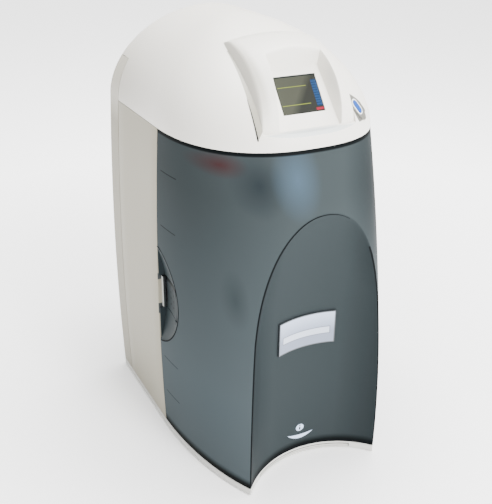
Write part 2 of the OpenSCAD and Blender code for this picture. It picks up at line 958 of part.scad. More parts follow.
port_z = 82;
port_in_y = panel_face_y - 13;
feed_x = -50;
product_x = -20;
reject_port_x = 16;
ro_x = -62;
ro_y = -58;
ro_low = 82;
ro_cap_h = 22;
ro_cap_lip = 4;
ro_stub_x = -20;
ro_high = ro_low + ro_h;
pressure_x = -8;
pressure_z = 116;
reject_x = -6;
reject_y = -20;
reject_z = 140;
permeate_z = ro_high + ro_cap_h + 18;
pump_y = 95;
pump_z = base_top + motor_r + 18;
head_left = -28;
head_right = 12;
head_half = 30;
stack_left = -122;
stack_right = -46;
stack_low = 132;
stack_high = 340;
stack_plate_t = 8;
stack_deep = 76;
stack_port_y = chassis_back + stack_deep / 2;
product_z = 104;
product_turn_y = pump_y + head_half + tube_r + 2;
product_start_x = -84;
stub_r = tube_r + 2;
stub_h = 8;

// Chassis behind the door
module chassis() {
    hole_r = tube_r + 2;
    flange = 40;
    shelf_half = chassis_half - 16;
    color(metal)
        difference() {
            union() {
                box([-chassis_half, chassis_y, base_top], [chassis_half, chassis_back, chassis_top]);
                box([-chassis_half, chassis_y, base_top],
                    [chassis_half, chassis_back + flange, base_top + chassis_t]);
                box([-shelf_half, chassis_y, chassis_top - chassis_t],
                    [shelf_half, rear_seam_y - 20, chassis_top]);
            }
            for (spot = [[pressure_x, pressure_z], [reject_x, reject_z], [ro_x, permeate_z]])
                rod([spot[0], chassis_y - cut, spot[1]], hole_r, chassis_t + 2 * cut, "y");
        }
}

// Pretreatment pack, pushed back onto two nipples and resting on a shelf

pack_left = 14;
pack_low = 70;
pack_rear = -14;
pack_mid_x = pack_left + pack_w / 2;
pack_front = pack_rear - pack_d;
pack_corner_r = 12;
nipple_r = 5;
nipple_x = 20;
nipple_z = pack_low + 30;
nipple_end = pack_rear - 14;
socket_gap = 0.4;
module pretreatment_pack() {
    shoulder = 12;
    color(plain_white)
        difference() {
            translate([pack_mid_x, (pack_rear + pack_front) / 2, pack_low])
                union() {
                    round_plate(pack_w, pack_d, pack_corner_r, pack_h - shoulder);
                    round_plate(pack_w - shoulder, pack_d - shoulder, pack_corner_r / 2, pack_h);
                }
            for (x = [-1, 1])
                rod([pack_mid_x + x * nipple_x, nipple_end - 3, nipple_z],
                    nipple_r + socket_gap, pack_rear - nipple_end + 3 + cut, "y");
        }
}

grip_w = 56;
grip_out = 18;
grip_h = 14;
grip_bar = 7;
grip_z = pack_low + pack_h - 46;
module pack_handle() {
    color(part_grey)
        translate([pack_mid_x, pack_front, grip_z])
            difference() {
                translate([0, -grip_out / 2, 0])
                    round_plate(grip_w, grip_out, grip_bar - 1, grip_h);
                box([-grip_w / 2 + grip_bar, -grip_out + grip_bar, -cut],
                    [grip_w / 2 - grip_bar, cut, grip_h + cut]);
                box([-grip_w, 0, -cut], [grip_w, grip_out, grip_h + cut]);
            }
}

band_t = 0.8;
band_half = 30;
band_from = 0.41;
band_to = 0.7;
module pack_band() {
    color("#3f6fae")
        box([pack_mid_x - band_half, pack_front - band_t, pack_low + band_from * pack_h],
            [pack_mid_x + band_half, pack_front, pack_low + band_to * pack_h]);
}

shelf_t = 4;
module pack_shelf() {
    top = pack_low - shell_gap;
    color(metal)
        union() {
            box([pack_left + 4, pack_front + 8, top - shelf_t],
                [pack_left + pack_w - 4, chassis_y, top]);
            for (x = [pack_left + 4, pack_left + pack_w - 4 - shelf_t])
                translate([x, chassis_y, top - shelf_t])
                    rotate([90, 0, 90])
                        linear_extrude(shelf_t)
                            polygon([[0, 0], [-60, 0], [0, -36]]);
        }
}

module pack_dock() {
    face = chassis_y - 14;
    color(dark_grey)
        difference() {
            union() {
                box([pack_mid_x - 34, face, nipple_z - 16], [pack_mid_x + 34, chassis_y, nipple_z + 16]);
                for (x = [-1, 1])
                    rod([pack_mid_x + x * nipple_x, nipple_end, nipple_z], nipple_r,
                        face - nipple_end + cut, "y");
            }
            for (x = [-1, 1])
                rod([pack_mid_x + x * nipple_x, nipple_end - cut, nipple_z], 3, face - nipple_end + 6, "y");
        }
}

// Reverse osmosis membrane in its housing

module membrane_housing() {
    color(plain_white)
        difference() {
            rod([ro_x, ro_y, ro_low], ro_r, ro_h);
            rod([ro_x, ro_y, ro_low - cut], ro_r - wall, ro_h + 2 * cut);
        }
}

module membrane_cap() {
    grooves = 3;
    difference() {
        rod([ro_x, ro_y, 0], ro_r + ro_cap_lip, ro_cap_h);
        for (k = [1:grooves])
            translate([ro_x, ro_y, k * ro_cap_h / (grooves + 1) - 1])
                difference() {
                    cylinder(r = ro_r + ro_cap_lip + cut, h = 2);
                    cylinder(r = ro_r + ro_cap_lip - 1.2, h = 2);
                }
    }
    rod([ro_x + ro_r, ro_y, ro_cap_h / 2], stub_r, ro_stub_x - ro_x - ro_r, "x");
}

module membrane_caps() {
    color("#3f6fae") {
        translate([0, 0, ro_low - ro_cap_h])
            membrane_cap();
        translate([0, 0, ro_high]) {
            membrane_cap();
            rod([ro_x, ro_y, ro_cap_h - cut], stub_r, stub_h - 2 + cut);
        }
    }
}

module membrane_clips() {
    clip_h = 18;
    clip_t = 4;
    color(dark_grey)
        for (z = [ro_low + 0.2 * ro_h, ro_low + 0.8 * ro_h])
            difference() {
                union() {
                    rod([ro_x, ro_y, z], ro_r + seat_gap + clip_t, clip_h);
                    box([ro_x - 12, ro_y + ro_r, z], [ro_x + 12, chassis_y, z + clip_h]);
                }
                rod([ro_x, ro_y, z - cut], ro_r + seat_gap, clip_h + 2 * cut);
                box([ro_x - 2 * ro_r, ro_y - 2 * ro_r, z - cut],
                    [ro_x + 2 * ro_r, ro_y - 0.4 * ro_r, z + clip_h + cut]);
            }
}

// Polishing stack: plates clamped between two end plates by tie rods

rod_r = 3;
rod_inset = 3.5;
rod_rows = [0.12, 0.5, 0.88];
module tie_rod_spots() {
    for (x = [stack_left + rod_inset, stack_right - rod_inset], share = rod_rows)
        translate([x, chassis_back + share * stack_deep, 0])
            children();
}

module polishing_stack() {
    count = 12;
    pitch = (stack_high - stack_low) / count;
    side = 2 * (rod_inset + seat_gap);
    color("#c9ced2")
        union() {
            box([stack_left + side + 3, chassis_back + 5, stack_low],
                [stack_right - side - 3, chassis_back + stack_deep - 5, stack_high]);
            for (k = [0:count - 1])
                box([stack_left + side, chassis_back + 2, stack_low + (k + 0.2) * pitch],
                    [stack_right - side, chassis_back + stack_deep - 2, stack_low + (k + 0.8) * pitch]);
        }
}

module polishing_end_plates() {
    color(metal)
        difference() {
            union() {
                for (z = [stack_low - stack_plate_t, stack_high])
                    box([stack_left, chassis_back, z],
                        [stack_right, chassis_back + stack_deep, z + stack_plate_t]);
                rod([ro_x, stack_port_y, stack_high + stack_plate_t - cut], stub_r, stub_h + cut);
                rod([product_start_x, stack_port_y, stack_low - stack_plate_t - stub_h], stub_r,
                    stub_h + cut);
            }
            tie_rod_spots()
                rod([0, 0, stack_low - 2 * stack_plate_t], rod_r + pin_gap,
                    stack_high - stack_low + 4 * stack_plate_t);
        }
}

module polishing_tie_rods() {
    nut_h = 5;
    reach_out = stack_plate_t + nut_h + 1;
    color(dark_grey)
        tie_rod_spots() {
            rod([0, 0, stack_low - reach_out], rod_r, stack_high - stack_low + 2 * reach_out);
            for (z = [stack_low - stack_plate_t - nut_h, stack_high + stack_plate_t])
                translate([0, 0, z])
                    cylinder(r = 2 * rod_r, h = nut_h, $fn = 6);
        }
}

// Booster pump

module pump_motor() {
    length = 90;
    color(dark_grey)
        union() {
            rod([head_right, pump_y, pump_z], motor_r, length, "x");
            rod([head_right + length, pump_y, pump_z], motor_r - 6, 8, "x");
            rod([head_right + 12, pump_y, pump_z], motor_r + 1.5, 6, "x");
        }
}

module pump_head() {
    color(plain_white)
        difference() {
            box([head_left, pump_y - head_half, pump_z - head_half],
                [head_right, pump_y + head_half, pump_z + head_half]);
            for (y = [-1, 1], z = [-1, 1])
                rod([head_left - cut, pump_y + y * (head_half - 6), pump_z + z * (head_half - 6)],
                    2, 8, "x");
        }
}

cradle_from = 24;
cradle_to = 80;
cradle_half = 26;
cradle_below = 10;
module pump_cradle() {
    color(part_grey)
        difference() {
            box([head_right + cradle_from, pump_y - cradle_half, base_top],
                [head_right + cradle_to, pump_y + cradle_half, pump_z - cradle_below]);
            rod([head_right, pump_y, pump_z], motor_r + seat_gap, cradle_to + cut, "x");
        }
}

// Inlet valve on the feed tube
valve_mid_y = 125;
valve_half = 11;
module inlet_valve() {
    color(plain_white)
        difference() {
            box([feed_x - valve_half, valve_mid_y - valve_half, port_z - valve_half + 2],
                [feed_x + valve_half, valve_mid_y + valve_half, port_z + valve_half - 2]);
            rod([feed_x, valve_mid_y - valve_half - cut, port_z], tube_r + seat_gap,
                2 * (valve_half + cut), "y");
        }
}

module valve_coil() {
    color(dark_grey)
        box([feed_x - valve_half - 2, valve_mid_y - valve_half, port_z - valve_half - 34],
            [feed_x + valve_half + 2, valve_mid_y + valve_half, port_z - valve_half + 2]);
}

// Electronics on the back of the chassis

board_left = -20;
board_right = 108;
board_low = 345;
board_high = 428;
post_h = 8;
post_inset = 7;
board_face = chassis_back + post_h + board_t;
module power_supply() {
    deep = 42;
    low = 236;
    high = 330;
    left = 14;
    slots = 7;
    color(metal)
        difference() {
            box([left, chassis_back, low], [board_right, chassis_back + deep, high]);
            for (k = [0:slots - 1])
                box([left + 12 + k * 11, chassis_back + deep - 3, low + 14],
                    [left + 16 + k * 11, chassis_back + deep + cut, high - 14]);
        }
}

module main_board() {
    color(board_green)
        box([board_left, chassis_back + post_h, board_low], [board_right, board_face, board_high]);
}

module board_posts() {
    color(metal)
        for (x = [board_left + post_inset, board_right - post_inset],
             z = [board_low + post_inset, board_high - post_inset])
            rod([x, chassis_back, z], 3, post_h, "y");
}

module board_parts() {
    color(dark_grey) {
        box([board_left + 16, board_face, board_low + 20],
            [board_left + 46, board_face + 22, board_low + 52]);
        for (k = [0:2])
            rod([board_left + 60 + k * 15, board_face, board_low + 24], 6, 18, "y");
        for (k = [0:4])
            box([board_left + 16 + k * 18, board_face, board_high - 16],
                [board_left + 30 + k * 18, board_face + 9, board_high - 8]);
        box([board_left + 56, board_face, board_low + 42],
            [board_left + 78, board_face + 2.5, board_low + 60]);
    }
}

// Connection bay in the rear wall

panel_sheet = 3;
inlet_x = 46;
inlet_z = 101;
switch_z = 66;
nut_r = 11;
port_r = 8;
port_mouth = panel_face_y + 19;
screw_x = bay_half - 8;
screw_r = 1.6;
inlet_half_x = 14;
inlet_half_z = 10;
switch_half_x = 11;
switch_half_z = 14;
module screw_spots() {
    for (x = [-1, 1], z = [bay_floor + 7, bay_roof - 7])
        translate([x * screw_x, panel_face_y, z])
            children();
}

module connection_panel() {
    back = body_back - wall - seat_gap;
    low = panel_face_y - panel_sheet;
    color(dark_grey)
        difference() {
            box([-bay_half - wall, low, bay_floor - wall], [bay_half + wall, back, bay_roof + wall]);
            box([-bay_half, panel_face_y, bay_floor], [bay_half, back + cut, bay_roof]);
            for (x = [feed_x, product_x, reject_port_x])
                rod([x, low - cut, port_z], port_r + seat_gap, panel_sheet + 2 * cut, "y");
            box([inlet_x - inlet_half_x - seat_gap, low - cut, inlet_z - inlet_half_z - seat_gap],
                [inlet_x + inlet_half_x + seat_gap, back, inlet_z + inlet_half_z + seat_gap]);
            box([inlet_x - switch_half_x - seat_gap, low - cut, switch_z - switch_half_z - seat_gap],
                [inlet_x + switch_half_x + seat_gap, back, switch_z + switch_half_z + seat_gap]);
            screw_spots()
                rod([0, -panel_sheet - cut, 0], screw_r + pin_gap, panel_sheet + 2 * cut, "y");
        }
}

// Push-in port for one water tube, with its hexagon nut against the panel
module tube_port(x) {
    difference() {
        union() {
            rod([x, port_in_y, port_z], port_r, port_mouth - 4 - port_in_y, "y");
            rod([x, port_in_y, port_z], port_r - 1.6, port_mouth - port_in_y, "y");
            translate([x, panel_face_y, port_z])
                rotate([-90, 0, 0])
                    cylinder(r = nut_r, h = 6, $fn = 6);
        }
        rod([x, port_mouth - port_bore_depth, port_z], port_bore_r, port_bore_depth + cut, "y");
        rod([x, port_in_y - cut, port_z], tube_bore_r, port_mouth - port_in_y, "y");
    }
}

module feed_port() {
    color(plain_white)
        tube_port(feed_x);
}

module product_port() {
    color("#5f8fc4")
        tube_port(product_x);
}

module reject_port() {
    color(part_grey)
        tube_port(reject_port_x);
}

inlet_floor = panel_face_y - 15;
module power_inlet() {
    color(dark_grey)
        difference() {
            union() {
                box([inlet_x - inlet_half_x, inlet_floor - 5, inlet_z - inlet_half_z],
                    [inlet_x + inlet_half_x, panel_face_y, inlet_z + inlet_half_z]);
                box([inlet_x - inlet_half_x - 4, panel_face_y, inlet_z - inlet_half_z - 3],
                    [inlet_x + inlet_half_x + 4, panel_face_y + 2.5, inlet_z + inlet_half_z + 3]);
            }
            box([inlet_x - 11.5, inlet_floor, inlet_z - 7.5],
                [inlet_x + 11.5, panel_face_y + 4, inlet_z + 7.5]);
        }
}

module inlet_blades() {
    color("#c9a75a")
        for (k = [-1:1])
            box([inlet_x + 7 * k - 1, inlet_floor, inlet_z - 2 + (k == 0 ? 2 : -1.5)],
                [inlet_x + 7 * k + 1, panel_face_y - 3, inlet_z + 2 + (k == 0 ? 2 : -1.5)]);
}

rocker_half_x = 7.5;
rocker_half_z = 9.6;
rocker_y = panel_face_y - 1;
rocker_tilt = 7;
trunnion_r = 1.5;
window_gap = 1.4;
module switch_frame() {
    color(dark_grey)
        difference() {
            union() {
                box([inlet_x - switch_half_x, panel_face_y - 18, switch_z - switch_half_z],
                    [inlet_x + switch_half_x, panel_face_y, switch_z + switch_half_z]);
                box([inlet_x - switch_half_x - 3, panel_face_y, switch_z - switch_half_z - 2],
                    [inlet_x + switch_half_x + 3, panel_face_y + 2, switch_z + switch_half_z + 2]);
            }
            box([inlet_x - rocker_half_x - shell_gap, panel_face_y - 14,
                 switch_z - rocker_half_z - window_gap],
                [inlet_x + rocker_half_x + shell_gap, panel_face_y + 4,
                 switch_z + rocker_half_z + window_gap]);
            rod([inlet_x - rocker_half_x - 2.4, rocker_y, switch_z], trunnion_r + pin_gap,
                2 * rocker_half_x + 4.8, "x");
        }
}

module power_rocker() {
    color("#2b2d2f")
        union() {
            translate([inlet_x - rocker_half_x, rocker_y, switch_z])
                rotate([-rocker_tilt, 0, 0])
                    rotate([90, 0, 90])
                        linear_extrude(2 * rocker_half_x)
                            polygon([[-5, -rocker_half_z], [6, -rocker_half_z], [4, 0],
                                     [6, rocker_half_z], [-5, rocker_half_z]]);
            rod([inlet_x - rocker_half_x - 2, rocker_y, switch_z], trunnion_r, 2 * rocker_half_x + 4, "x");
        }
}

module panel_screws() {
    color(metal)
        screw_spots() {
            rod([0, 0, 0], 2 * screw_r, 2.2, "y");
            rod([0, -6, 0], screw_r, 6, "y");
        }
}

// Water tubes with square bends

function unit(v) = v / norm(v);
module straight(from, to) {
    along = unit(to - from);
    turn = along[2] != 0 ? (along[2] > 0 ? [0, 0, 0] : [180, 0, 0])
        : along[0] != 0 ? [0, 90 * along[0], 0] : [-90 * along[1], 0, 0];
    translate(from)
        rotate(turn)
            difference() {
                cylinder(r = tube_r, h = norm(to - from));
                translate([0, 0, -cut])
                    cylinder(r = tube_bore_r, h = norm(to - from) + 2 * cut);
            }
}

module bend(corner, into, out) {
    side = cross(-out, into);
    spot = corner - into * bend_r + out * bend_r;
    multmatrix([
        [-out[0], into[0], side[0], spot[0]],
        [-out[1], into[1], side[1], spot[1]],
        [-out[2], into[2], side[2], spot[2]],
        [0, 0, 0, 1]])
        rotate_extrude(angle = 90)
            translate([bend_r, 0])
                difference() {
                    circle(tube_r);
                    circle(tube_bore_r);
                }
}

module water_tube(route) {
    last = len(route) - 1;
    for (k = [0:last - 1]) {
        along = unit(route[k + 1] - route[k]);
        straight(route[k] + (k > 0 ? along * bend_r : [0, 0, 0]),
                 route[k + 1] - (k < last - 1 ? along * bend_r : [0, 0, 0]));
    }
    for (k = [1:last - 1])
        bend(route[k], unit(route[k] - route[k - 1]), unit(route[k + 1] - route[k]));
}

module feed_tube() {
    color(tube_blue)
        water_tube([[feed_x, port_in_y, port_z], [feed_x, pump_y + 5, port_z],
            [feed_x, pump_y + 5, pump_z - 12], [head_left, pump_y + 5, pump_z - 12]]);
}

module pressure_tube() {
    low = ro_low - ro_cap_h / 2;
    color(tube_blue)
        water_tube([[pressure_x, pump_y, pump_z + head_half], [pressure_x, pump_y, pressure_z],
            [pressure_x, ro_y, pressure_z], [pressure_x, ro_y, low], [ro_stub_x, ro_y, low]]);
}

module permeate_tube() {
    color(tube_blue)
        water_tube([[ro_x, ro_y, ro_high + ro_cap_h + stub_h - 2], [ro_x, ro_y, permeate_z],
            [ro_x, stack_port_y, permeate_z], [ro_x, stack_port_y, stack_high + stack_plate_t + stub_h]]);
}

module product_tube() {
    color(tube_blue)
        water_tube([[product_start_x, stack_port_y, stack_low - stack_plate_t - stub_h],
            [product_start_x, stack_port_y, product_z], [product_start_x, product_turn_y, product_z],
            [product_x, product_turn_y, product_z], [product_x, product_turn_y, port_z],
            [product_x, port_in_y, port_z]]);
}

module reject_tube() {
    top = ro_high + ro_cap_h / 2;
    turn_y = pump_y + motor_r + 4;
    color(tube_blue)
        water_tube([[ro_stub_x, ro_y, top], [reject_x, ro_y, top], [reject_x, reject_y, top],
            [reject_x, reject_y, reject_z], [reject_x, turn_y, reject_z],
            [reject_port_x, turn_y, reject_z], [reject_port_x, turn_y, port_z],
            [reject_port_x, port_in_y, port_z]]);
}

// Sensor sleeves round the permeate and product tubes
module cell_sleeve(x, y, z) {
    length = 26;
    difference() {
        union() {
            rod([x, y, z], tube_r + 5, length, "y");
            rod([x - tube_r - 18, y + length / 2, z], 4, tube_r + 16, "x");
        }
        rod([x, y - cut, z], tube_r + seat_gap, length + 2 * cut, "y");
    }
}

module conductivity_cells() {
    color(dark_grey) {
        cell_sleeve(product_start_x, stack_port_y + 26, product_z);
        cell_sleeve(ro_x, chassis_back + cut, permeate_z);
    }
}

// Pieces, drawn one by one or all together

base_plate();
feet();
left_side_panel();
right_side_panel();
rear_housing();
top_cover();
display_bezel();
screen_lens();
lcd_module();
display_board();
key_panel();
button_ring();
standby_button();
chassis();
door_keepers();
front_door();
door_plate();
left_finger_cup();
right_finger_cup();
left_latch_lever();
right_latch_lever();
latch_pins();
rear_grille();
card_tray();
info_card();
pretreatment_pack();
pack_handle();
pack_band();
pack_shelf();
pack_dock();
membrane_housing();
membrane_caps();
membrane_clips();
polishing_stack();
polishing_end_plates();
polishing_tie_rods();
pump_motor();
pump_head();
pump_cradle();
inlet_valve();
valve_coil();
power_supply();
main_board();
board_parts();
board_posts();
connection_panel();
feed_port();
product_port();
reject_port();
power_inlet();
inlet_blades();
switch_frame();
power_rocker();
feed_tube();
pressure_tube();
permeate_tube();
product_tube();
reject_tube();
conductivity_cells();
panel_screws();
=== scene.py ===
"""Looks of a bench water purification unit: smooth shells over the CAD frame, materials, studio and camera."""
from math import acos, asin, cos, hypot, pi, radians, sin, sqrt

import bpy
import numpy as np
from mathutils import Matrix, Vector


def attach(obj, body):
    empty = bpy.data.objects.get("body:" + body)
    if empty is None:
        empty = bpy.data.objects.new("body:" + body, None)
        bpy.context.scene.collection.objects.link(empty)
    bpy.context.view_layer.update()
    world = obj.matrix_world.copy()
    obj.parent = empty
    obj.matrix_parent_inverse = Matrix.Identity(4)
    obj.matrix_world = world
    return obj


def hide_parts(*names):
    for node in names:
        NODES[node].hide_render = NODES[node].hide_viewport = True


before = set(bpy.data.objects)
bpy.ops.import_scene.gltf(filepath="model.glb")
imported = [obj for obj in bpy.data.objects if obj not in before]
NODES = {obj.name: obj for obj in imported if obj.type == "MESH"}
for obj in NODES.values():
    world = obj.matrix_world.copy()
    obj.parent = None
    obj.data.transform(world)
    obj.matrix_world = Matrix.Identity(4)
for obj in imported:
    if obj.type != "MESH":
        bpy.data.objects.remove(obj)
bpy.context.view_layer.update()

# Sizes in millimetres, the same as in the CAD source
BODY_W, BELLY_Z, BELLY_R = 290, 193, 4350
SEAM_Z, DOME_H, BODY_BACK = 456, 124, 188
REAR_CORNER_R, REAR_SEAM_Y, REAR_SEAM_TOP = 10, 146, 512
WALL, GAP, RETURN_W = 3, 0.4, 12
REACH_TOP, REACH_BASE, LEAN_POWER = 161.8, 273.6, 1.58
FRONT_SQUARE, FRONT_CENTRE, FRONT_FOOT = 2.45, 10.5, 7
DOME_ROUND, RIDGE_FRONT, RIDGE_BACK = 1.84, 65, 136
SCOOP_R, SCOOP_BACK, SCOOP_BEND_Z, SCOOP_BEND_R = 130.2, 143, 213.5, 417
BASE_TOP = 12.3
SHELL_LOW, DOOR_TOP, COVER_LOW = BASE_TOP + GAP, SEAM_Z - GAP, SEAM_Z + GAP
CUP_Z, CUP_R, CUP_Y, CUP_SUNK, CUP_TURN = 225, 74, 17, 0.2, radians(-4.7)
RIB_FEET, RIB_TALL, RIB_DEEP, RIB_REAR, RIB_FRONT, RIB_GAP = (73, 131, 331, 405), 2.4, 9, 20, 52, 0.05
TILT, SCREEN_Y, SCREEN_Z, LENS_HALF_W, LENS_HALF_H = radians(52.3), 107.9, 509.4, 28.5, 24

# Openings, each as its lowest and its highest corner
REAR_OPENINGS = (((-72, 180, 45), (72, 195, 125)), ((-62, 180, 322), (62, 195, 431)))
TRAY_SLOT = ((-71.4, -189, 4.7), (71.4, -37.6, 8.5))

# Meshes: steps of the shared outlines, small rounds, and the angles from which an edge is left sharp
SIDE_STEPS, BOWL_STEPS, COVER_STEPS, CORNER_STEPS, CUP_STEPS, LEAF_STEPS = 44, 56, 52, 8, 220, 160
EASE_STOPS = (0, 0.25, 0.5, 0.75, 1)
DOOR_EASE, BASE_EASE, PANEL_EDGE_R, LEDGE_CORNER_R, RIDGE_CORNER = 1.6, 0.8, 0.9, 1, 0.8
SHARP, VISOR_SHARP = 32, 50
TINY = 1e-6

# How far lines and prints lie outside the face that they are on
CREASE_LIFT, LINE_LIFT, PRINT_LIFT, JOINT_LIFT, SIGN_LIFT = 0.12, 0.15, 0.25, 0.35, 0.4


# Body surface, as functions of the height z and of the inset i

def mix(a, b, t):
    return a + (b - a) * t


def belly(z):
    return BODY_W / 2 - BELLY_R + sqrt(BELLY_R ** 2 - (z - BELLY_Z) ** 2)


def shrink(z, i=0.0):
    """1 up to the seam, and from there the dome's round, to nearly 0 at its top."""
    rise = max(0.0, min(0.9999, (z - SEAM_Z) / (DOME_H - i)))
    return (1 - rise ** DOME_ROUND) ** (1 / DOME_ROUND)


def half_w(z, i=0.0):
    return (belly(min(z, SEAM_Z)) - i) * shrink(z, i)


def climb(z):
    return max(0.0, min(1.0, (z - FRONT_FOOT) / (SEAM_Z - FRONT_FOOT)))


def reach(z, i=0.0):
    return (mix(REACH_BASE, REACH_TOP, climb(z) ** LEAN_POWER) - i) * shrink(z, i)


def centre_y(z, i=0.0):
    return mix(RIDGE_FRONT, FRONT_CENTRE, shrink(z, i))


def square_n(z):
    return mix(2.0, FRONT_SQUARE, climb(z) ** 2)


def back_y(z, i=0.0):
    return mix(RIDGE_BACK, BODY_BACK - i, shrink(z, i))


def front_curve(t, z, i=0.0):
    """Point of the front outline at the angle t, from the right side to the middle."""
    p = 2 / square_n(z)
    return (half_w(z, i) * max(0.0, cos(t)) ** p, centre_y(z, i) - reach(z, i) * max(0.0, sin(t)) ** p)


def front_turn(ahead, z, i):
    """Angle of the front outline's point at a distance ahead of the door's rear edge."""
    return asin(((centre_y(z, i) + ahead) / reach(z, i)) ** (square_n(z) / 2))


def front_y(x, z, i=0.0):
    n = square_n(z)
    return centre_y(z, i) - reach(z, i) * max(0.0, 1 - (abs(x) / half_w(z, i)) ** n) ** (1 / n)


def scoop_y(x, z, i=0.0):
    ring = SCOOP_BEND_R - SCOOP_R + sqrt(max(0.0, (SCOOP_R + i) ** 2 - x * x))
    return -SCOOP_BACK - SCOOP_BEND_R + sqrt(ring ** 2 - max(0.0, z - SCOOP_BEND_Z) ** 2)


def scoop_over(x, z, i=0.0):
    """How far the scoop cuts in behind the front."""
    return scoop_y(x, z, i) - front_y(x, z, i)


def halving(test, low, high):
    """The place between low and high where test turns from true to false."""
    for _ in range(40):
        mid = (low + high) / 2
        low, high = (mid, high) if test(mid) else (low, mid)
    return (low + high) / 2


SCOOP_APEX = halving(lambda z: scoop_over(0, z) > 0, SCOOP_BEND_Z, SEAM_Z)
SCOOP_LEAST, APEX_SPREAD, APEX_LEAST = 0.05, 9.4, 0.3


def split_x(z, i=0.0):
    """Where a wing meets the scoop; above the arch, where the mesh's columns spread out again."""
    if scoop_over(0, z, i) > SCOOP_LEAST:
        return halving(lambda x: scoop_over(x, z, i) > 0, 0.0, SCOOP_R + i - 1)
    return APEX_SPREAD * sqrt(max(APEX_LEAST, z - SCOOP_APEX))


# Outlines

def flipped(path):
    """The other half of an outline, from the middle on."""
    return [(-x, y) for x, y in reversed(path)]


def rear_corner(half, back, r, steps):
    """Quarter round from the back to the right side."""
    turns = [pi / 2 * (1 - k / steps) for k in range(steps + 1)]
    return [(half - r + r * cos(t), back - r + r * sin(t)) for t in turns]


def eased_tip(side, bowl, size):
    """A small round in place of the corner where the side meets the bowl."""
    tip = np.array(side[-1])

    def towards(point):
        away = np.array(point) - tip
        return tip + away * min(1.0, size / max(TINY, np.linalg.norm(away)))

    a, b = towards(side[-2]), towards(bowl[0])
    return side[:-1] + [tuple((1 - t) ** 2 * a + 2 * t * (1 - t) * tip + t * t * b) for t in EASE_STOPS]


def door_path(z, i=0.0, edge=GAP, ease=DOOR_EASE):
    """Door outline at a height, from the right rear edge round the front to the left."""
    start = front_turn(edge, z, i)
    stop = acos((split_x(z, i) / half_w(z, i)) ** (square_n(z) / 2))
    side = [front_curve(mix(start, stop, k / SIDE_STEPS), z, i) for k in range(SIDE_STEPS + 1)]
    spread = asin(min(1.0, split_x(z, i) / (SCOOP_R + i)))
    bowl = []
    for k in range(1, BOWL_STEPS):
        x = (SCOOP_R + i) * sin(spread * (1 - 2 * k / BOWL_STEPS))
        bowl.append((x, max(scoop_y(x, z, i), front_y(x, z, i))))
    side = eased_tip(side, bowl, ease)
    return side + bowl + flipped(side)


def cover_path(z, i, limit):
    """Closed outline of the dome at a height, cut off straight where it would pass the limit behind."""
    half, back, r = half_w(z, i), back_y(z, i), min(REAR_CORNER_R, half_w(z, i) * RIDGE_CORNER)
    if back > limit - i:
        back, r = limit - i, LEDGE_CORNER_R
    right = [(0.0, back)] + rear_corner(half, back, r, CORNER_STEPS)
    right += [(half, mix(back - r, centre_y(z, i), k / 4)) for k in (1, 2, 3)]
    right += [front_curve(pi / 2 * k / COVER_STEPS, z, i) for k in range(COVER_STEPS)]
    return right + [front_curve(pi / 2, z, i)] + flipped(right[1:])


def rear_path(z, i):
    """Outline of the rear housing at a height, from seam to seam."""
    half, back = half_w(z, i), back_y(z, i)
    right = rear_corner(half, back, REAR_CORNER_R, 10)
    right += [(half, mix(back - REAR_CORNER_R, REAR_SEAM_Y + GAP, k / 3)) for k in (1, 2, 3)]
    return flipped(right) + right


# Mesh helpers

def into_scene(name, data):
    obj = bpy.data.objects.new(name, data)
    bpy.context.scene.collection.objects.link(obj)
    return obj


def smooth(mesh, sharp):
    mesh.shade_smooth()
    mesh.set_sharp_from_angle(angle=radians(sharp))


def piece(name, points, faces, body, sharp=SHARP, stands_for=(), slot=None):
    """A smooth-shaded mesh in millimetres that rides a body."""
    mesh = bpy.data.meshes.new(name)
    mesh.from_pydata([tuple(0.001 * float(v) for v in p) for p in points], [], faces)
    mesh.validate()
    smooth(mesh, sharp)
    obj = into_scene(name, mesh)
    if body:
        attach(obj, body)
    if stands_for:
        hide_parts(*stands_for)
    return obj


def loft(loops, caps=True):
    """Points and faces through a stack of closed loops of 3-D points."""
    cols = len(loops[0])
    points = [p for loop in loops for p in loop]
    faces = []
    for r in range(len(loops) - 1):
        for c in range(cols):
            d = (c + 1) % cols
            faces.append((r * cols + c, r * cols + d, (r + 1) * cols + d, (r + 1) * cols + c))
    if caps:
        last = (len(loops) - 1) * cols
        faces += [tuple(range(cols - 1, -1, -1)), tuple(range(last, last + cols))]
        faces = facing_out(points, faces)
    return points, faces


def facing_out(points, faces):
    """The faces of a closed shape, turned so that they face outwards."""
    spots = np.array(points)
    volume = 0.0
    for f in faces:
        fan = spots[list(f)]
        volume += np.einsum("ij,ij->", np.cross(fan[1:-1] - spots[0], fan[2:] - spots[0]),
                            np.broadcast_to(fan[0] - spots[0], fan[2:].shape))
    return faces if volume > 0 else [tuple(reversed(f)) for f in faces]


def grid(rows):
    """Points and faces of an open grid of 3-D points."""
    cols = len(rows[0])
    points = [p for row in rows for p in row]
    faces = [(r * cols + c, r * cols + c + 1, (r + 1) * cols + c + 1, (r + 1) * cols + c)
             for r in range(len(rows) - 1) for c in range(cols - 1)]
    return points, faces


def box_shape(low, high):
    corners = [(low[0], low[1]), (high[0], low[1]), (high[0], high[1]), (low[0], high[1])]
    return loft([lift(corners, z) for z in (low[2], high[2])])


def joined(*shapes):
    points, faces = [], []
    for more, quads in shapes:
        faces += [tuple(k + len(points) for k in f) for f in quads]
        points += list(more)
    return points, faces


def mirrored(shape):
    points, faces = shape
    return [(-x, y, z) for x, y, z in points], [tuple(reversed(f)) for f in faces]


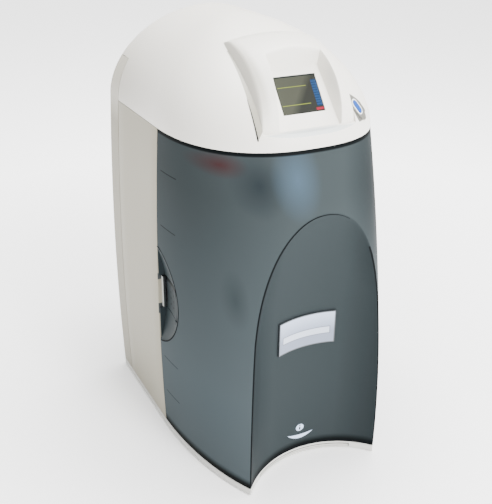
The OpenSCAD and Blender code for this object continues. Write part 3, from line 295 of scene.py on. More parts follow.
def cut_away(obj, shape):
    """Takes a closed shape out of a piece."""
    tool = piece("cutter", *shape, body=None)
    change = obj.modifiers.new("cut", "BOOLEAN")
    change.operation, change.solver, change.object = "DIFFERENCE", "EXACT", tool
    bpy.context.view_layer.update()
    result = bpy.data.meshes.new_from_object(obj.evaluated_get(bpy.context.evaluated_depsgraph_get()))
    obj.modifiers.clear()
    old = obj.data
    obj.data = result
    result.name = old.name + "_cut"
    bpy.data.meshes.remove(old)
    bpy.data.objects.remove(tool)
    smooth(result, SHARP)


def lift(path, z):
    return [(x, y, z) for x, y in path]


def shell_loop(outer, inner, z):
    return lift(outer, z) + lift(list(reversed(inner)), z)


def heights(*spans):
    """Rows of heights: each span is (from, to, steps) and starts where the last one stopped."""
    out = []
    for low, high, steps in spans:
        out += [mix(low, high, k / steps) for k in range(steps)]
    return out + [spans[-1][1]]


# Shells

def right_panel():
    """Barrel-sided panel with a return at its front and at its back."""
    front, back, r = GAP, REAR_SEAM_Y, PANEL_EDGE_R
    cut = 0.3 * r
    loops = []
    for z in heights((SHELL_LOW, DOOR_TOP, 24)):
        half = belly(z)
        fold, inside = half - RETURN_W, half - WALL
        outer = [(fold, back), (half - r, back), (half - cut, back - cut), (half, back - r)]
        outer += [(half, mix(back - r, front + r, k / 6)) for k in range(1, 6)]
        outer += [(half, front + r), (half - cut, front + cut), (half - r, front), (fold, front)]
        inner = [(fold, back - WALL), (inside, back - WALL), (inside, front + WALL), (fold, front + WALL)]
        loops.append(shell_loop(outer, inner, z))
    return loft(loops)


def rear_housing():
    rows = heights((SHELL_LOW, SEAM_Z, 20), (SEAM_Z, REAR_SEAM_TOP - GAP, 14))
    return loft([shell_loop(rear_path(z, 0), rear_path(z, WALL), z) for z in rows])


LEDGE_STEP, DOME_ROWS, DOME_END = 0.8, 30, radians(1.2)


def dome():
    """Closed shell of the dome, which leaves room for the rear housing up to a ledge."""
    def stack(i):
        ledge = REAR_SEAM_TOP + i
        first = acos(min(1.0, (ledge + LEDGE_STEP - SEAM_Z) / (DOME_H - i)))
        rows = [lift(cover_path(z, i, REAR_SEAM_Y), z) for z in heights((COVER_LOW, ledge, 16))]
        for k in range(DOME_ROWS + 1):
            z = SEAM_Z + (DOME_H - i) * cos(mix(first, DOME_END, k / DOME_ROWS))
            rows.append(lift(cover_path(z, i, 2 * BODY_BACK), z))
        return rows

    outer, inner = stack(0.0), stack(WALL)
    points, faces = loft(outer + list(reversed(inner)), caps=False)
    cols, rows = len(outer[0]), len(outer)
    last = 2 * rows - 1
    faces = [f for f in faces if f[0] // cols != rows - 1]
    faces += [(last * cols + c, last * cols + (c + 1) % cols, (c + 1) % cols, c) for c in range(cols)]
    faces += [tuple((rows - 1) * cols + c for c in range(cols)),
              tuple(rows * cols + c for c in range(cols - 1, -1, -1))]
    return points, facing_out(points, faces)


FLANGE_STEP, APEX_GAP = 0.3, 0.4


def door():
    """Shell of the door, with a flange along its foot and its head; its rows crowd at the arch."""
    rows = [SHELL_LOW, SHELL_LOW + WALL]
    rows += heights((SHELL_LOW + WALL + FLANGE_STEP, SCOOP_BEND_Z, 22))[:-1]
    rows += [mix(SCOOP_BEND_Z, SCOOP_APEX - APEX_GAP, sin(pi / 2 * k / 40)) for k in range(41)]
    rows += [mix(SCOOP_APEX + APEX_GAP, DOOR_TOP - WALL - FLANGE_STEP, (k / 20) ** 1.3) for k in range(21)]
    rows += [DOOR_TOP - WALL, DOOR_TOP]
    loops = []
    for k, z in enumerate(rows):
        deep = WALL if 2 <= k < len(rows) - 2 else RETURN_W
        loops.append(shell_loop(door_path(z), door_path(z, deep), z))
    return loft(loops)


def door_ribs():
    """Short ribs inside the wings, seen as faint lines through the smoked wall."""
    shapes = []
    for low in RIB_FEET:
        loops = []
        for z in (low, low + RIB_TALL):
            lines = []
            for i in (WALL + RIB_GAP, RIB_DEEP):
                a, b = front_turn(RIB_REAR, z, i), front_turn(RIB_FRONT, z, i)
                lines.append([front_curve(mix(a, b, k / 6), z, i) for k in range(7)])
            loops.append(shell_loop(*lines, z))
        shape = loft(loops)
        shapes += [shape, mirrored(shape)]
    return joined(*shapes)


# The base's edge from below: height, inset
BASE_EDGE = ((1.5, 1), (1.8, 0.45), (2.4, 0.1), (3, 0), (10.4, 0), (11.4, 0.2), (12, 0.7), (BASE_TOP, 1.4))


def base():
    loops = []
    for z, i in BASE_EDGE:
        right = rear_corner(half_w(BASE_TOP) - i, BODY_BACK - i, REAR_CORNER_R, CORNER_STEPS)
        loops.append(lift(door_path(BASE_TOP, i, 0.0, BASE_EASE) + flipped(right) + right, z))
    return loft(loops)


CUP_CUT = (-30, 20)  # how far in and out of the cup's plane


def cup_cutter(side):
    """Cylinder round a finger cup's outline."""
    r, middle = CUP_R + GAP, belly(CUP_Z) - CUP_SUNK
    loops = []
    for out in CUP_CUT:
        loop = []
        for k in range(CUP_STEPS):
            t = 2 * pi * k / CUP_STEPS
            along = CUP_Y + r * cos(t)
            x = middle + out * cos(CUP_TURN) - along * sin(CUP_TURN)
            y = out * sin(CUP_TURN) + along * cos(CUP_TURN)
            loop.append((side * x, y, CUP_Z + r * sin(t)))
        loops.append(loop)
    return loft(loops)


# Lines and prints on the door and the base. Line round a cup: its ends, and its width past the cup's edge.

RIM_START, RIM_STOP, RIM_ACROSS = radians(100), radians(260), (-0.2, 0.7, 1.6)
CREASE_LOW, LEFT_CREASE_TOP, RIGHT_CREASE_TOP = SHELL_LOW + 0.5, SCOOP_APEX - 3, 328


def cup_rim(side):
    """Dark line round a finger cup, on the door's face."""
    rows = []
    for t in np.linspace(RIM_START, RIM_STOP, 90):
        row = []
        for past in RIM_ACROSS:
            y, z = CUP_Y + (CUP_R + past) * cos(t), CUP_Z + (CUP_R + past) * sin(t)
            if y > -GAP:
                break
            x = halving(lambda v: front_y(v, z, -LINE_LIFT) < y, 0.0, half_w(z, -LINE_LIFT) - TINY)
            row.append((side * x, y, z))
        if len(row) == len(RIM_ACROSS):
            rows.append(row)
    return grid(rows)


def crease_line(side, top):
    """Painted shade: a dark line along the edge where the scoop cuts a wing."""
    rows = []
    for z in heights((CREASE_LOW, SCOOP_BEND_Z, 40), (SCOOP_BEND_Z, top, 60)):
        tip = door_path(z, -CREASE_LIFT)[SIDE_STEPS:SIDE_STEPS + len(EASE_STOPS)]
        rows.append([(side * x, y, z) for x, y in tip])
    return grid(rows)


ARCH_LEFT, ARCH_RIGHT, ARCH_WIDE, ARCH_THIN = -40, 34, 1.4, 0.5


def arch_line():
    """Painted shade: a dark line over the head of the arch, thinner to the right."""
    rows = []
    for x in np.linspace(ARCH_LEFT, ARCH_RIGHT, 80):
        edge = halving(lambda z: scoop_over(abs(x), z) > 0, SCOOP_BEND_Z, SEAM_Z)
        wide = mix(ARCH_WIDE, ARCH_THIN, (x - ARCH_LEFT) / (ARCH_RIGHT - ARCH_LEFT))
        spots = [edge + share * wide for share in (-0.1, 0.5, 1.0)]
        rows.append([(x, front_y(abs(x), z, -LINE_LIFT), z) for z in spots])
    return grid(rows)


def on_scoop(arc, z, out):
    """Point of the concave front from its arc length and height, lifted out of the face."""
    turn, r = arc / SCOOP_R, SCOOP_R - out
    return (r * sin(turn), -SCOOP_BACK - SCOOP_R + r * cos(turn), z)


# Strokes beside the tray's slot: from and to along the arc, bottom and top
TRAY_STROKES = ((-76.6, 76.6, 8.55, 9.6), (-76.6, -75.65, 4.7, 9.6), (75.65, 76.6, 4.7, 9.6))


def tray_line():
    """Painted shade along the tray's slot: one line above the tray and a short stroke at each end."""
    shapes = []
    for low, high, *levels in TRAY_STROKES:
        arcs = np.linspace(low, high, 60)
        shapes.append(grid([[on_scoop(arc, z, LINE_LIFT) for arc in arcs] for z in levels]))
    return joined(*shapes)


# Prints low on the scoop, by arc length and height. The ovals: middle, half-width and half-height.
SIGN_OVAL, SIGN_DOT = (1.6, 47.6, 6.1, 5.6), (1.6, 51, 1.2, 1.1)
STROKE_ARCS, STROKE_HEIGHTS = (0.5, 1.6, 2.7), (43.8, 46, 48.6)
CRESCENT_LEFT, CRESCENT_RIGHT, CRESCENT_SAGS = (-18.8, 39.8), (22, 38), (3.4, 9.6)


def oval_mark(arc, z, half_wide, half_tall, out):
    """Oval patch on the concave front."""
    rows = []
    for share in (0.02, 0.5, 1.0):
        rows.append([on_scoop(arc + half_wide * share * cos(t), z + half_tall * share * sin(t), out)
                     for t in np.linspace(0, 2 * pi, 49)])
    return grid(rows)


def info_mark():
    """Upright stroke and dot inside the oval."""
    stroke = grid([[on_scoop(arc, z, SIGN_LIFT) for arc in STROKE_ARCS] for z in STROKE_HEIGHTS])
    return joined(stroke, oval_mark(*SIGN_DOT, SIGN_LIFT))


def crescent_mark():
    """Crescent under the oval, pointing down."""
    rows = []
    for sag in CRESCENT_SAGS:
        row = []
        for t in np.linspace(0, 1, 41):
            arc, tip = (mix(a, b, t) for a, b in zip(CRESCENT_LEFT, CRESCENT_RIGHT))
            row.append(on_scoop(arc, tip - sag * (4 * t * (1 - t)), PRINT_LIFT))
        rows.append(row)
    return grid(rows)


# Display: the visor is a height over the screen's plane, with a pocket down to the screen

AXIS_Y, FOOT_Z = 87.9 - SCREEN_Y, SCREEN_Z - 39.4
VISOR_DEEP, VISOR_TALL, VISOR_BOW, VISOR_CROWN, VISOR_SQUARE = 113.6, 92, 7, 9, 2.75
VISOR_LOW, VISOR_TOP = 63.5, 57
VISOR_SKIRT, VISOR_TAIL, VISOR_END = 14, 10, radians(9)
# Rows up the screen's plane: from, to, steps
VISOR_ROWS = ((-60, -50, 12), (-49.6, -42.4, 26), (-42, -24.1, 10), (-24, 24, 8), (24.1, 32, 6), (32.6, 60, 34),
              (61, 94, 22))
# Side walls: drop below the visor's edge, and how far out they are there
VISOR_WALLS = ((0.12, -0.55), (0.5, -0.15), (1.2, 0.2), (2.4, 0.7), (5, 1.5), (9, 2.6), (14, 4), (20, 5.7),
               (28, 8))
# Pocket: its ends up the plane, half-widths there, least margin, slope of its walls and of its head, depth at the lens
POCKET_LOW, POCKET_HEAD, POCKET_HALF_LOW, POCKET_HALF_HEAD, POCKET_MARGIN = -43, 34, 41, 35.5, 6
POCKET_STEEP, POCKET_SLOPE, LENS_DEPTH = 0.16, 0.9, -1.9
# Soft rounds: at the pocket's upper corners, lower corners, floor and rim, and at the sill
ROUND_HEAD, ROUND_LOW, ROUND_FLOOR, ROUND_RIM, ROUND_SILL = 3, 2, 1.2, 4, 1.2
# How far down the pocket shapes the visor, from where the sill does, and the sill: a point of it and its slope
POCKET_ABOVE, SILL_BELOW, SILL_UP, SILL_OUT, SILL_RISE = -49, -44, -45, 2, 0.63
# The same sill by depth and height
SILL_Y, SILL_Z, SILL_SLOPE = -SCREEN_Y - 29.1, SCREEN_Z - 34.4, 0.367
# Foot of the visor's left wall: lowest point, rise, distance from the middle and its change up the wall, half-width
JOINT_Z, JOINT_RISE, JOINT_X, JOINT_LEAN, JOINT_BEND, JOINT_HALF = 469.5, 42.5, 68.9, 3.6, -3.9, 0.75


def to_screen(y, z):
    """Along and above the screen's plane, from depth and height."""
    dy, dz = y + SCREEN_Y, z - SCREEN_Z
    return dy * cos(TILT) + dz * sin(TILT), -dy * sin(TILT) + dz * cos(TILT)


def from_screen(x, up, out):
    return (x, -SCREEN_Y + up * cos(TILT) - out * sin(TILT),
            SCREEN_Z + up * sin(TILT) + out * cos(TILT))


def visor_curve(u, drop):
    """The visor's section at u across, as (along, above) the screen's plane, from its foot to its top."""
    swell = 1 - u * u
    power = 2 / mix(2.0, VISOR_SQUARE, swell)
    deep = VISOR_DEEP + VISOR_BOW * swell - drop
    tall = VISOR_TALL + VISOR_CROWN * swell - drop

    def spot(t):
        return AXIS_Y - deep * sin(t) ** power, FOOT_Z + tall * max(0.0, cos(t)) ** power

    line = [to_screen(AXIS_Y - deep, FOOT_Z - VISOR_SKIRT)]
    line += [to_screen(*spot(mix(VISOR_END, pi / 2, k / 80))) for k in range(80, -1, -1)]
    y, z = spot(VISOR_END)
    for k in (0.25, 0.5, 0.75, 1.0):
        line.append(to_screen(mix(y, AXIS_Y + VISOR_TAIL, k), z - VISOR_TAIL * k * k))
    return np.array(line)


def visor_half(z):
    return mix(VISOR_LOW, VISOR_TOP, (z - FOOT_Z) / VISOR_TALL)


def soft_min(a, b, k):
    h = np.clip(0.5 + 0.5 * (b - a) / k, 0, 1)
    return b + (a - b) * h - k * h * (1 - h)


def soft_max(a, b, k):
    return -soft_min(-a, -b, k)


def dome_height(x, up):
    """Height of the dome's face above the screen's plane."""
    def inside(out):
        _, y, z = from_screen(x, up, out)
        return z < SEAM_Z + DOME_H - 0.1 and y > front_y(x, max(z, SEAM_Z))

    return halving(inside, -60.0, 60.0)


def visor_columns(side, half):
    """Distances from the middle across the visor; they crowd at the lens and at the pocket's wall."""
    xs = [*np.linspace(0, LENS_HALF_W, 8), *np.linspace(LENS_HALF_W + 0.1, side, 7)]
    return xs + [side + d for d in np.linspace(0.25, 5, 20)] + list(np.linspace(side + 5, half - 1, 14)[1:])


def visor_out(x, up, side, out):
    """The visor's height at a point, from that of its plain curve: with the sill, the pocket and the lens's hole."""
    if up < SILL_BELOW:
        sill = SILL_OUT + SILL_RISE * (SILL_UP - up)
        out = float(soft_max(out, min(sill, 2 * dome_height(x, up) - sill), ROUND_SILL))
    if up > POCKET_ABOVE:
        wall = soft_max((x - side) / POCKET_STEEP, (up - POCKET_HEAD) / POCKET_SLOPE, ROUND_HEAD)
        wall = soft_max(wall, (POCKET_LOW - up) / POCKET_STEEP, ROUND_LOW)
        out = float(soft_min(out, soft_max(wall, 0.0, ROUND_FLOOR), ROUND_RIM))
    return LENS_DEPTH if x <= LENS_HALF_W and -LENS_HALF_H <= up <= LENS_HALF_H else out


def visor():
    """Rows run up the screen's plane, columns across it; both crowd at the pocket's edges."""
    ups = np.array([up for part in VISOR_ROWS for up in heights(part)])
    shares = np.linspace(0, 1, 33)
    face = np.array([np.interp(ups, *visor_curve(u, 0.0).T) for u in shares])
    sides = [np.interp(ups, *visor_curve(1.0, drop).T) for drop, _ in VISOR_WALLS]
    rows = []
    for r, up in enumerate(ups):
        half = visor_half(from_screen(0, up, face[-1][r])[2])
        taper = (POCKET_HEAD - up) / (POCKET_HEAD - POCKET_LOW)
        side = min(mix(POCKET_HALF_HEAD, POCKET_HALF_LOW, taper), half - POCKET_MARGIN)
        column = []
        for x in visor_columns(side, half):
            plain = float(np.interp(x / half, shares, face[:, r]))
            column.append(from_screen(x, up, visor_out(x, up, side, plain)))
        for (_, past), line in zip(VISOR_WALLS, sides):
            column.append(from_screen(half + past, up, line[r]))
        rows.append([(-x, y, z) for x, y, z in reversed(column[1:])] + column)
    return grid(rows)


def visor_foot_line():
    """Dark joint at the foot of the visor's left wall."""
    rows = []
    for z in heights((JOINT_Z, JOINT_Z + JOINT_RISE, 40)):
        t = (z - JOINT_Z) / JOINT_RISE
        x = JOINT_X + t * (JOINT_LEAN + JOINT_BEND * t)
        wide = JOINT_HALF * (1 - t) ** 0.5
        rows.append([(-x - d, front_y(x + d, z, -JOINT_LIFT), z) for d in (-wide, 0.0, wide)])
    return grid(rows)


# Rooms cut in the dome under the visor. The pocket's: half-width and end at its head, then at its foot, and its
# lower and upper ring by height over the screen's plane, spread and rise.
MOUTH_HALF, MOUTH_REAR, MOUTH_TOP = VISOR_LOW - 0.7, -SCREEN_Y - 12, 517
ROOM_HALF_HEAD, ROOM_HEAD, ROOM_HALF_FOOT, ROOM_FOOT, ROOM_RINGS = 39, 36, 46, -44, ((-16, 0, 0), (45, 3, 24))
# Key panel: place, and the turns that lay it on the dome. Its hole: middle, circles that overlap there, and depths.
KEY_X, KEY_Z, KEY_PROUD, KEY_TURNS = 70, SEAM_Z + 34.5, 0.88, ((29, "Z"), (59, "X"), (24, "Z"))
HOLE_MIDDLE, HOLE_CIRCLES, HOLE_DEPTHS = 1.5, ((-12.5, 24.2), (26, 34.2)), (-9, 8)


def mouth_cutter():
    """Room in the dome above the visor's sill."""
    ends = (MOUTH_REAR, -BODY_BACK)
    profile = [(y, SILL_Z + SILL_SLOPE * (y - SILL_Y)) for y in ends] + [(y, MOUTH_TOP) for y in reversed(ends)]
    return loft([[(x, y, z) for y, z in profile] for x in (-MOUTH_HALF, MOUTH_HALF)])


def pocket_cutter():
    """Room in the dome for the screen's pocket, all under the visor."""
    def ring(out, spread, rise):
        right = [(ROOM_HALF_HEAD + spread, ROOM_HEAD + rise), (ROOM_HALF_FOOT + spread, ROOM_FOOT)]
        return [from_screen(x, up, out) for x, up in right + flipped(right)]

    return loft([ring(*settings) for settings in ROOM_RINGS])


def key_frame():
    spot = Matrix.Translation((KEY_X, front_y(KEY_X, KEY_Z) - KEY_PROUD, KEY_Z))
    for angle, axis in KEY_TURNS:
        spot = spot @ Matrix.Rotation(radians(angle), 4, axis)
    return spot


def leaf_cutter():
    """Hole in the dome for the leaf-shaped key panel."""
    def spot(t, r):
        return HOLE_MIDDLE + r * cos(t), r * sin(t)

    def inside(x, y):
        return all(hypot(x - at, y) < radius for at, radius in HOLE_CIRCLES)

    turns = [2 * pi * k / LEAF_STEPS for k in range(LEAF_STEPS)]
    ring = [spot(t, halving(lambda r: inside(*spot(t, r)), 0.0, 60.0)) for t in turns]
    to_dome = key_frame()
    return loft([[tuple(to_dome @ Vector((x, y, z))) for x, y in ring] for z in HOLE_DEPTHS])


# Shader helpers

class Signal:
    """Output of a shader node. Sums with it add maths nodes to its tree."""

    def __init__(self, tree, socket):
        self.tree, self.socket = tree, socket

    def __add__(self, other):
        return maths("ADD", self, other)

    def __sub__(self, other):
        return maths("SUBTRACT", self, other)

    def __rsub__(self, other):
        return maths("SUBTRACT", other, self)

    def __mul__(self, other):
        return maths("MULTIPLY", self, other)

    def __truediv__(self, other):
        return maths("DIVIDE", self, other)

    def __abs__(self):
        return maths("ABSOLUTE", self)


def plug(value, socket):
    """Gives a socket a signal or a plain value."""
    if isinstance(value, Signal):
        value.tree.links.new(value.socket, socket)
    else:
        socket.default_value = value


def maths(operation, *values, clamp=False):
    tree = next(v.tree for v in values if isinstance(v, Signal))
    node = tree.nodes.new("ShaderNodeMath")
    node.operation, node.use_clamp = operation, clamp
    for value, socket in zip(values, node.inputs):
        plug(value, socket)
    return Signal(tree, node.outputs[0])


def tint(colour, by=1.0):
    """A plain colour made lighter or darker, with full cover."""
    return tuple(max(0.0, min(1.0, v * by)) for v in colour) + (1.0,)


def blend(share, a, b):
    """Colour a turned into b by a share of 0 to 1; a and b are signals or plain colours."""
    node = share.tree.nodes.new("ShaderNodeMix")
    node.data_type = "RGBA"
    for label, value in (("Factor", share), ("A", a), ("B", b)):
        plug(tint(value) if isinstance(value, tuple) else value, node.inputs[label])
    return Signal(share.tree, node.outputs["Result"])


def coordinates(tree, kind):
    return Signal(tree, tree.nodes.new("ShaderNodeTexCoord").outputs[kind])


def split(vector):
    """x, y and z of a vector."""
    node = vector.tree.nodes.new("ShaderNodeSeparateXYZ")
    plug(vector, node.inputs[0])
    return [Signal(vector.tree, node.outputs[axis]) for axis in "XYZ"]


def place(tree):
    """Object coordinates in millimetres: x, y and z."""
    scaled = tree.nodes.new("ShaderNodeVectorMath")
    scaled.operation = "SCALE"
    scaled.inputs["Scale"].default_value = 1000.0
    plug(coordinates(tree, "Object"), scaled.inputs[0])
    return split(Signal(tree, scaled.outputs[0]))


def noise(where, scale, rough):
    node = where.tree.nodes.new("ShaderNodeTexNoise")
    for label, value in (("Vector", where), ("Scale", scale), ("Detail", 2.0), ("Roughness", rough)):
        plug(value, node.inputs[label])
    return Signal(where.tree, node.outputs["Fac"])


def rising(value, start, width):
    """0 up to the start, 1 from a width above it."""
    return maths("DIVIDE", value - start, width, clamp=True)


def falling(value, stop, width):
    """1 up to a width below the stop, 0 from there on."""
    return maths("DIVIDE", stop - value, width, clamp=True)


def span(value, low, high, soft):
    """1 where value is between low and high, with soft edges."""
    return rising(value, low, soft) * falling(value, high, soft)


def distance(a, b):
    return maths("SQRT", a * a + b * b)


def patch(a, b, a0, b0, ra, rb):
    """Soft round patch: 1 at its middle, 0 at its rim."""
    rim = maths("SUBTRACT", 1.0, distance((a - a0) / ra, (b - b0) / rb), clamp=True)
    return maths("SMOOTH_MAX", rim, 0.0, 0.15)


# Materials

def make_surface_group():
    """Slow colour drift, uneven gloss and fine grain for one surface."""
    group = bpy.data.node_groups.new("surface", "ShaderNodeTree")
    for way, kind, labels in (
            ("INPUT", "NodeSocketColor", ("Colour", "Drift")),
            ("INPUT", "NodeSocketFloat", ("Gloss", "Gloss Spread", "Drift Scale", "Grain Scale")),
            ("OUTPUT", "NodeSocketColor", ("Colour",)),
            ("OUTPUT", "NodeSocketFloat", ("Roughness", "Height"))):
        for label in labels:
            group.interface.new_socket(label, in_out=way, socket_type=kind)
    start, end = group.nodes.new("NodeGroupInput"), group.nodes.new("NodeGroupOutput")
    given = {socket.name: Signal(group, socket) for socket in start.outputs}
    where = coordinates(group, "Object")
    slow = noise(where, given["Drift Scale"], 0.5)
    gloss = maths("ADD", given["Gloss"], (slow - 0.5) * given["Gloss Spread"], clamp=True)
    plug(blend(slow, given["Colour"], given["Drift"]), end.inputs["Colour"])
    plug(gloss, end.inputs["Roughness"])
    plug(noise(where, given["Grain Scale"], 0.6), end.inputs["Height"])
    return group


SURFACE = make_surface_group()
RELIEF_DEPTH, COAT_GLOSS = 0.0004, 0.08


def material(name, colour, gloss, spread, drift, drift_scale, grain, bump,
             metallic=0.0, coat=0.0, specular=0.5, dress=None):
    """A Principled material fed by the shared surface group; dress may alter the colour before it is plugged in."""
    m = bpy.data.materials.new(name)
    m.use_nodes = True
    tree = m.node_tree
    shader = tree.nodes["Principled BSDF"]
    surface = tree.nodes.new("ShaderNodeGroup")
    surface.node_tree = SURFACE
    relief = tree.nodes.new("ShaderNodeBump")
    result = {socket.name: Signal(tree, socket) for socket in surface.outputs}
    out = dress(result["Colour"], *place(tree)) if dress else result["Colour"]
    for node, settings in (
            (surface, {"Colour": tint(colour), "Drift": tint(colour, drift), "Gloss": gloss, "Gloss Spread": spread,
                       "Drift Scale": drift_scale, "Grain Scale": grain}),
            (relief, {"Strength": bump, "Distance": RELIEF_DEPTH, "Height": result["Height"]}),
            (shader, {"Base Color": out, "Roughness": result["Roughness"],
                      "Normal": Signal(tree, relief.outputs["Normal"]), "Metallic": metallic, "Coat Weight": coat,
                      "Coat Roughness": COAT_GLOSS, "Specular IOR Level": specular})):
        for label, value in settings.items():
            plug(value, node.inputs[label])
    return m


def light_up(colour, strength):
    """Gives the material that a colour is in some light of its own."""
    shader = colour.tree.nodes["Principled BSDF"]
    plug(colour, shader.inputs["Emission Color"])
    plug(strength, shader.inputs["Emission Strength"])


# Each dress function takes the surface's colour and the place in millimetres, and returns a colour

def screen_up(y, z):
    """How far up the screen's plane a place is."""
    return (y + SCREEN_Y) * cos(TILT) + (z - SCREEN_Z) * sin(TILT)


# Screen: tones, then its picture across and up the plane: slanted painted shadow, lines, strip of bars, block, and the
# whole picture, outside which the frame's shade is painted
SCREEN_SHADE, SCREEN_LINE, SCREEN_FRAME_SHADE = (0.0125, 0.0135, 0.0115), (0.13, 0.16, 0.02), (0.004, 0.008, 0.009)
SCREEN_BAR, SCREEN_BAR_LIT, SCREEN_BLOCK = (0.004, 0.014, 0.038), (0.008, 0.028, 0.078), (0.17, 0.008, 0.02)
SHADE_SLANT, SHADE_START, SHADE_WIDTH, SHADE_SHARE = 0.7, -2, 12, 0.9
LINE_FEET, LINE_TALL, LINE_ACROSS = (9.6, -13), 1.1, (-26, 13)
STRIP_ACROSS, STRIP_UP, BAR_PITCH, BAR_GAP = (20, 28.8), (-17, 17), 1.6, 0.5
BLOCK_ACROSS, BLOCK_UP = (17.5, 28.8), (-22, -18.4)
PICTURE_ACROSS, PICTURE_UP, SCREEN_GLOW = (-40, 28.2), (-40, 22.8), 0.12


def dress_screen(colour, x, y, z):
    """Plain lines and bars of a lit display, in the plane of the screen, under a slanted painted shadow, with painted
    shade of the frame along its upper and right edges.
    """
    up = screen_up(y, z)
    # painted shadow across the lower right of the screen
    out = blend(rising(x - up * SHADE_SLANT, SHADE_START, SHADE_WIDTH) * SHADE_SHARE, colour, SCREEN_SHADE)
    for low in LINE_FEET:
        out = blend(span(up, low, low + LINE_TALL, 0.4) * span(x, *LINE_ACROSS, 1.0), out, SCREEN_LINE)
    lit = maths("GREATER_THAN", maths("PINGPONG", up, BAR_PITCH), BAR_GAP)
    strip = span(x, *STRIP_ACROSS, 0.6) * span(up, *STRIP_UP, 0.6)
    out = blend(strip, out, blend(lit, SCREEN_BAR, SCREEN_BAR_LIT))
    out = blend(span(x, *BLOCK_ACROSS, 0.6) * span(up, *BLOCK_UP, 0.5), out, SCREEN_BLOCK)
    # painted shade of the frame outside the picture
    out = blend(span(x, *PICTURE_ACROSS, 0.6) * span(up, *PICTURE_UP, 0.8), SCREEN_FRAME_SHADE, out)
    light_up(out, SCREEN_GLOW)
    return out


# Circles whose overlap is the grey leaf round the button: centre across and up, radius
LEAF_ARCS, LEAF_TONE = ((129, 513, 71.2), (27.5, 437.1, 77.1), (73, 495.5, 21.8)), (0.125, 0.122, 0.106)


def leaf_inlay(x, z, colour):
    """Grey-beige leaf round the button."""
    share = 1.0
    for x0, z0, radius in LEAF_ARCS:
        share = falling(distance(x - x0, z - z0), radius, 0.6) * share
    return blend(share, colour, LEAF_TONE)


# Painted shade on the dome and the visor: tone, then where it starts or stops with the width of the soft edge, and
# strength
FLANK_SHADE, FLANK_BACK, FLANK_LOW, FLANK_SHARE = (0.42, 0.395, 0.335), (20, 130), (555, 80), 0.75
WALL_FOOT_SHADE, FOOT_INNER, FOOT_NARROW, FOOT_NARROW_BY, FOOT_REAR = (0.3, 0.285, 0.235), -58, (487, 16), 10, -40
SILL_SHADE_TONE, SILL_SHADE, SILL_SHARE = (0.44, 0.485, 0.49), (-44, 3), 0.8
SIDE_WALL_SHADE, SIDE_FACING, SIDE_OUTER, SIDE_SHARE = (0.44, 0.42, 0.365), (-0.15, 0.4), (-48, 6), 0.8


def dress_dome(colour, x, y, z):
    """Painted shade low on the back flank, painted shade of the visor's left wall carried onto the dome at its foot,
    and the leaf.
    """
    # painted shade low on the back flank
    out = blend(rising(y, *FLANK_BACK) * falling(z, *FLANK_LOW) * FLANK_SHARE, colour, FLANK_SHADE)
    # painted shade of the visor's left wall, carried onto the dome at its foot
    t = (z - JOINT_Z) / JOINT_RISE
    foot = t * (t * JOINT_BEND + JOINT_LEAN) + JOINT_X
    inner = FOOT_INNER - falling(z, *FOOT_NARROW) * FOOT_NARROW_BY
    wall = maths("DIVIDE", x + foot, 0.7, clamp=True) * maths("LESS_THAN", x, inner)
    wall = wall * maths("LESS_THAN", y, FOOT_REAR) * maths("GREATER_THAN", z, JOINT_Z)
    return leaf_inlay(x, z, blend(wall, out, WALL_FOOT_SHADE))


def dress_visor(colour, x, y, z):
    """Painted shade on the sill under the screen's pocket, and on the left wall by the way it faces."""
    # painted shade on the sill
    out = blend(falling(screen_up(y, z), *SILL_SHADE) * SILL_SHARE, colour, SILL_SHADE_TONE)
    # painted shade on outer walls that face left
    facing, *_ = split(coordinates(colour.tree, "Normal"))
    share = falling(facing, *SIDE_FACING) * falling(x, *SIDE_OUTER) * SIDE_SHARE
    return leaf_inlay(x, z, blend(share, out, SIDE_WALL_SHADE))


# Door: tones, and where they lie; the lighter tone low down is a painted reflection of the floor, and the scoop's
# tones are painted shade
DOOR_FLOOR_REFLECTION, DOOR_LOW, DOOR_DARK = (0.056, 0.071, 0.077), (400, 260), (0.0032, 0.0042, 0.0046)
DOOR_HEAD, DOOR_FOOT = (DOOR_TOP - 4.5, DOOR_TOP + 9), (27, 9)
# painted shade in the concave scoop, deeper towards its sides
SCOOP_SHADE, SCOOP_EDGE_SHADE = (0.0245, 0.031, 0.0325), (0.0095, 0.013, 0.0138)
SCOOP_EDGE, SCOOP_EDGE_SHARE, SCOOP_NEAR = (50, 55), 0.7, 2
RIB_LINE_TALL, RIB_LINE_ENDS, RIB_LINE_SHARE = 1.8, (-RIB_FRONT, -11), 0.8
# Soft patches painted on the smoked wall, mostly painted highlight, reflection and shade: place, half-sizes, strength
# and colour
DOOR_REFLECTIONS_AND_SHADE = (
    # reddish painted reflection at the head
    (-106, 440, 26, 16, 0.9, (0.035, 0.012, 0.012)),
    # dark part of the painted reflection, beside the highlight
    (-72, 420, 30, 40, 0.65, (0.005, 0.0075, 0.01)),
    # pale blue painted highlight at the head
    (-30, 425, 32, 50, 0.55, (0.05, 0.088, 0.13)),
    # a darker streak
    (-104, 280, 12, 40, 0.35, (0.006, 0.009, 0.009)),
    # painted highlight low on the left wing
    (-122, 110, 30, 70, 0.45, (0.05, 0.066, 0.074)),
    # painted shade over the right wing
    (108, 385, 80, 140, 0.95, (0.004, 0.006, 0.007)),
)


def scoop_mask(x, y, z):
    """1 on the concave front, 0 on the wings."""
    ring = maths("SQRT", SCOOP_R ** 2 - x * x) + (SCOOP_BEND_R - SCOOP_R)
    above = maths("MAXIMUM", z - SCOOP_BEND_Z, 0.0)
    depth = maths("SQRT", ring * ring - above * above)
    return maths("SUBTRACT", SCOOP_NEAR, abs(y - (depth - (SCOOP_BACK + SCOOP_BEND_R))), clamp=True)


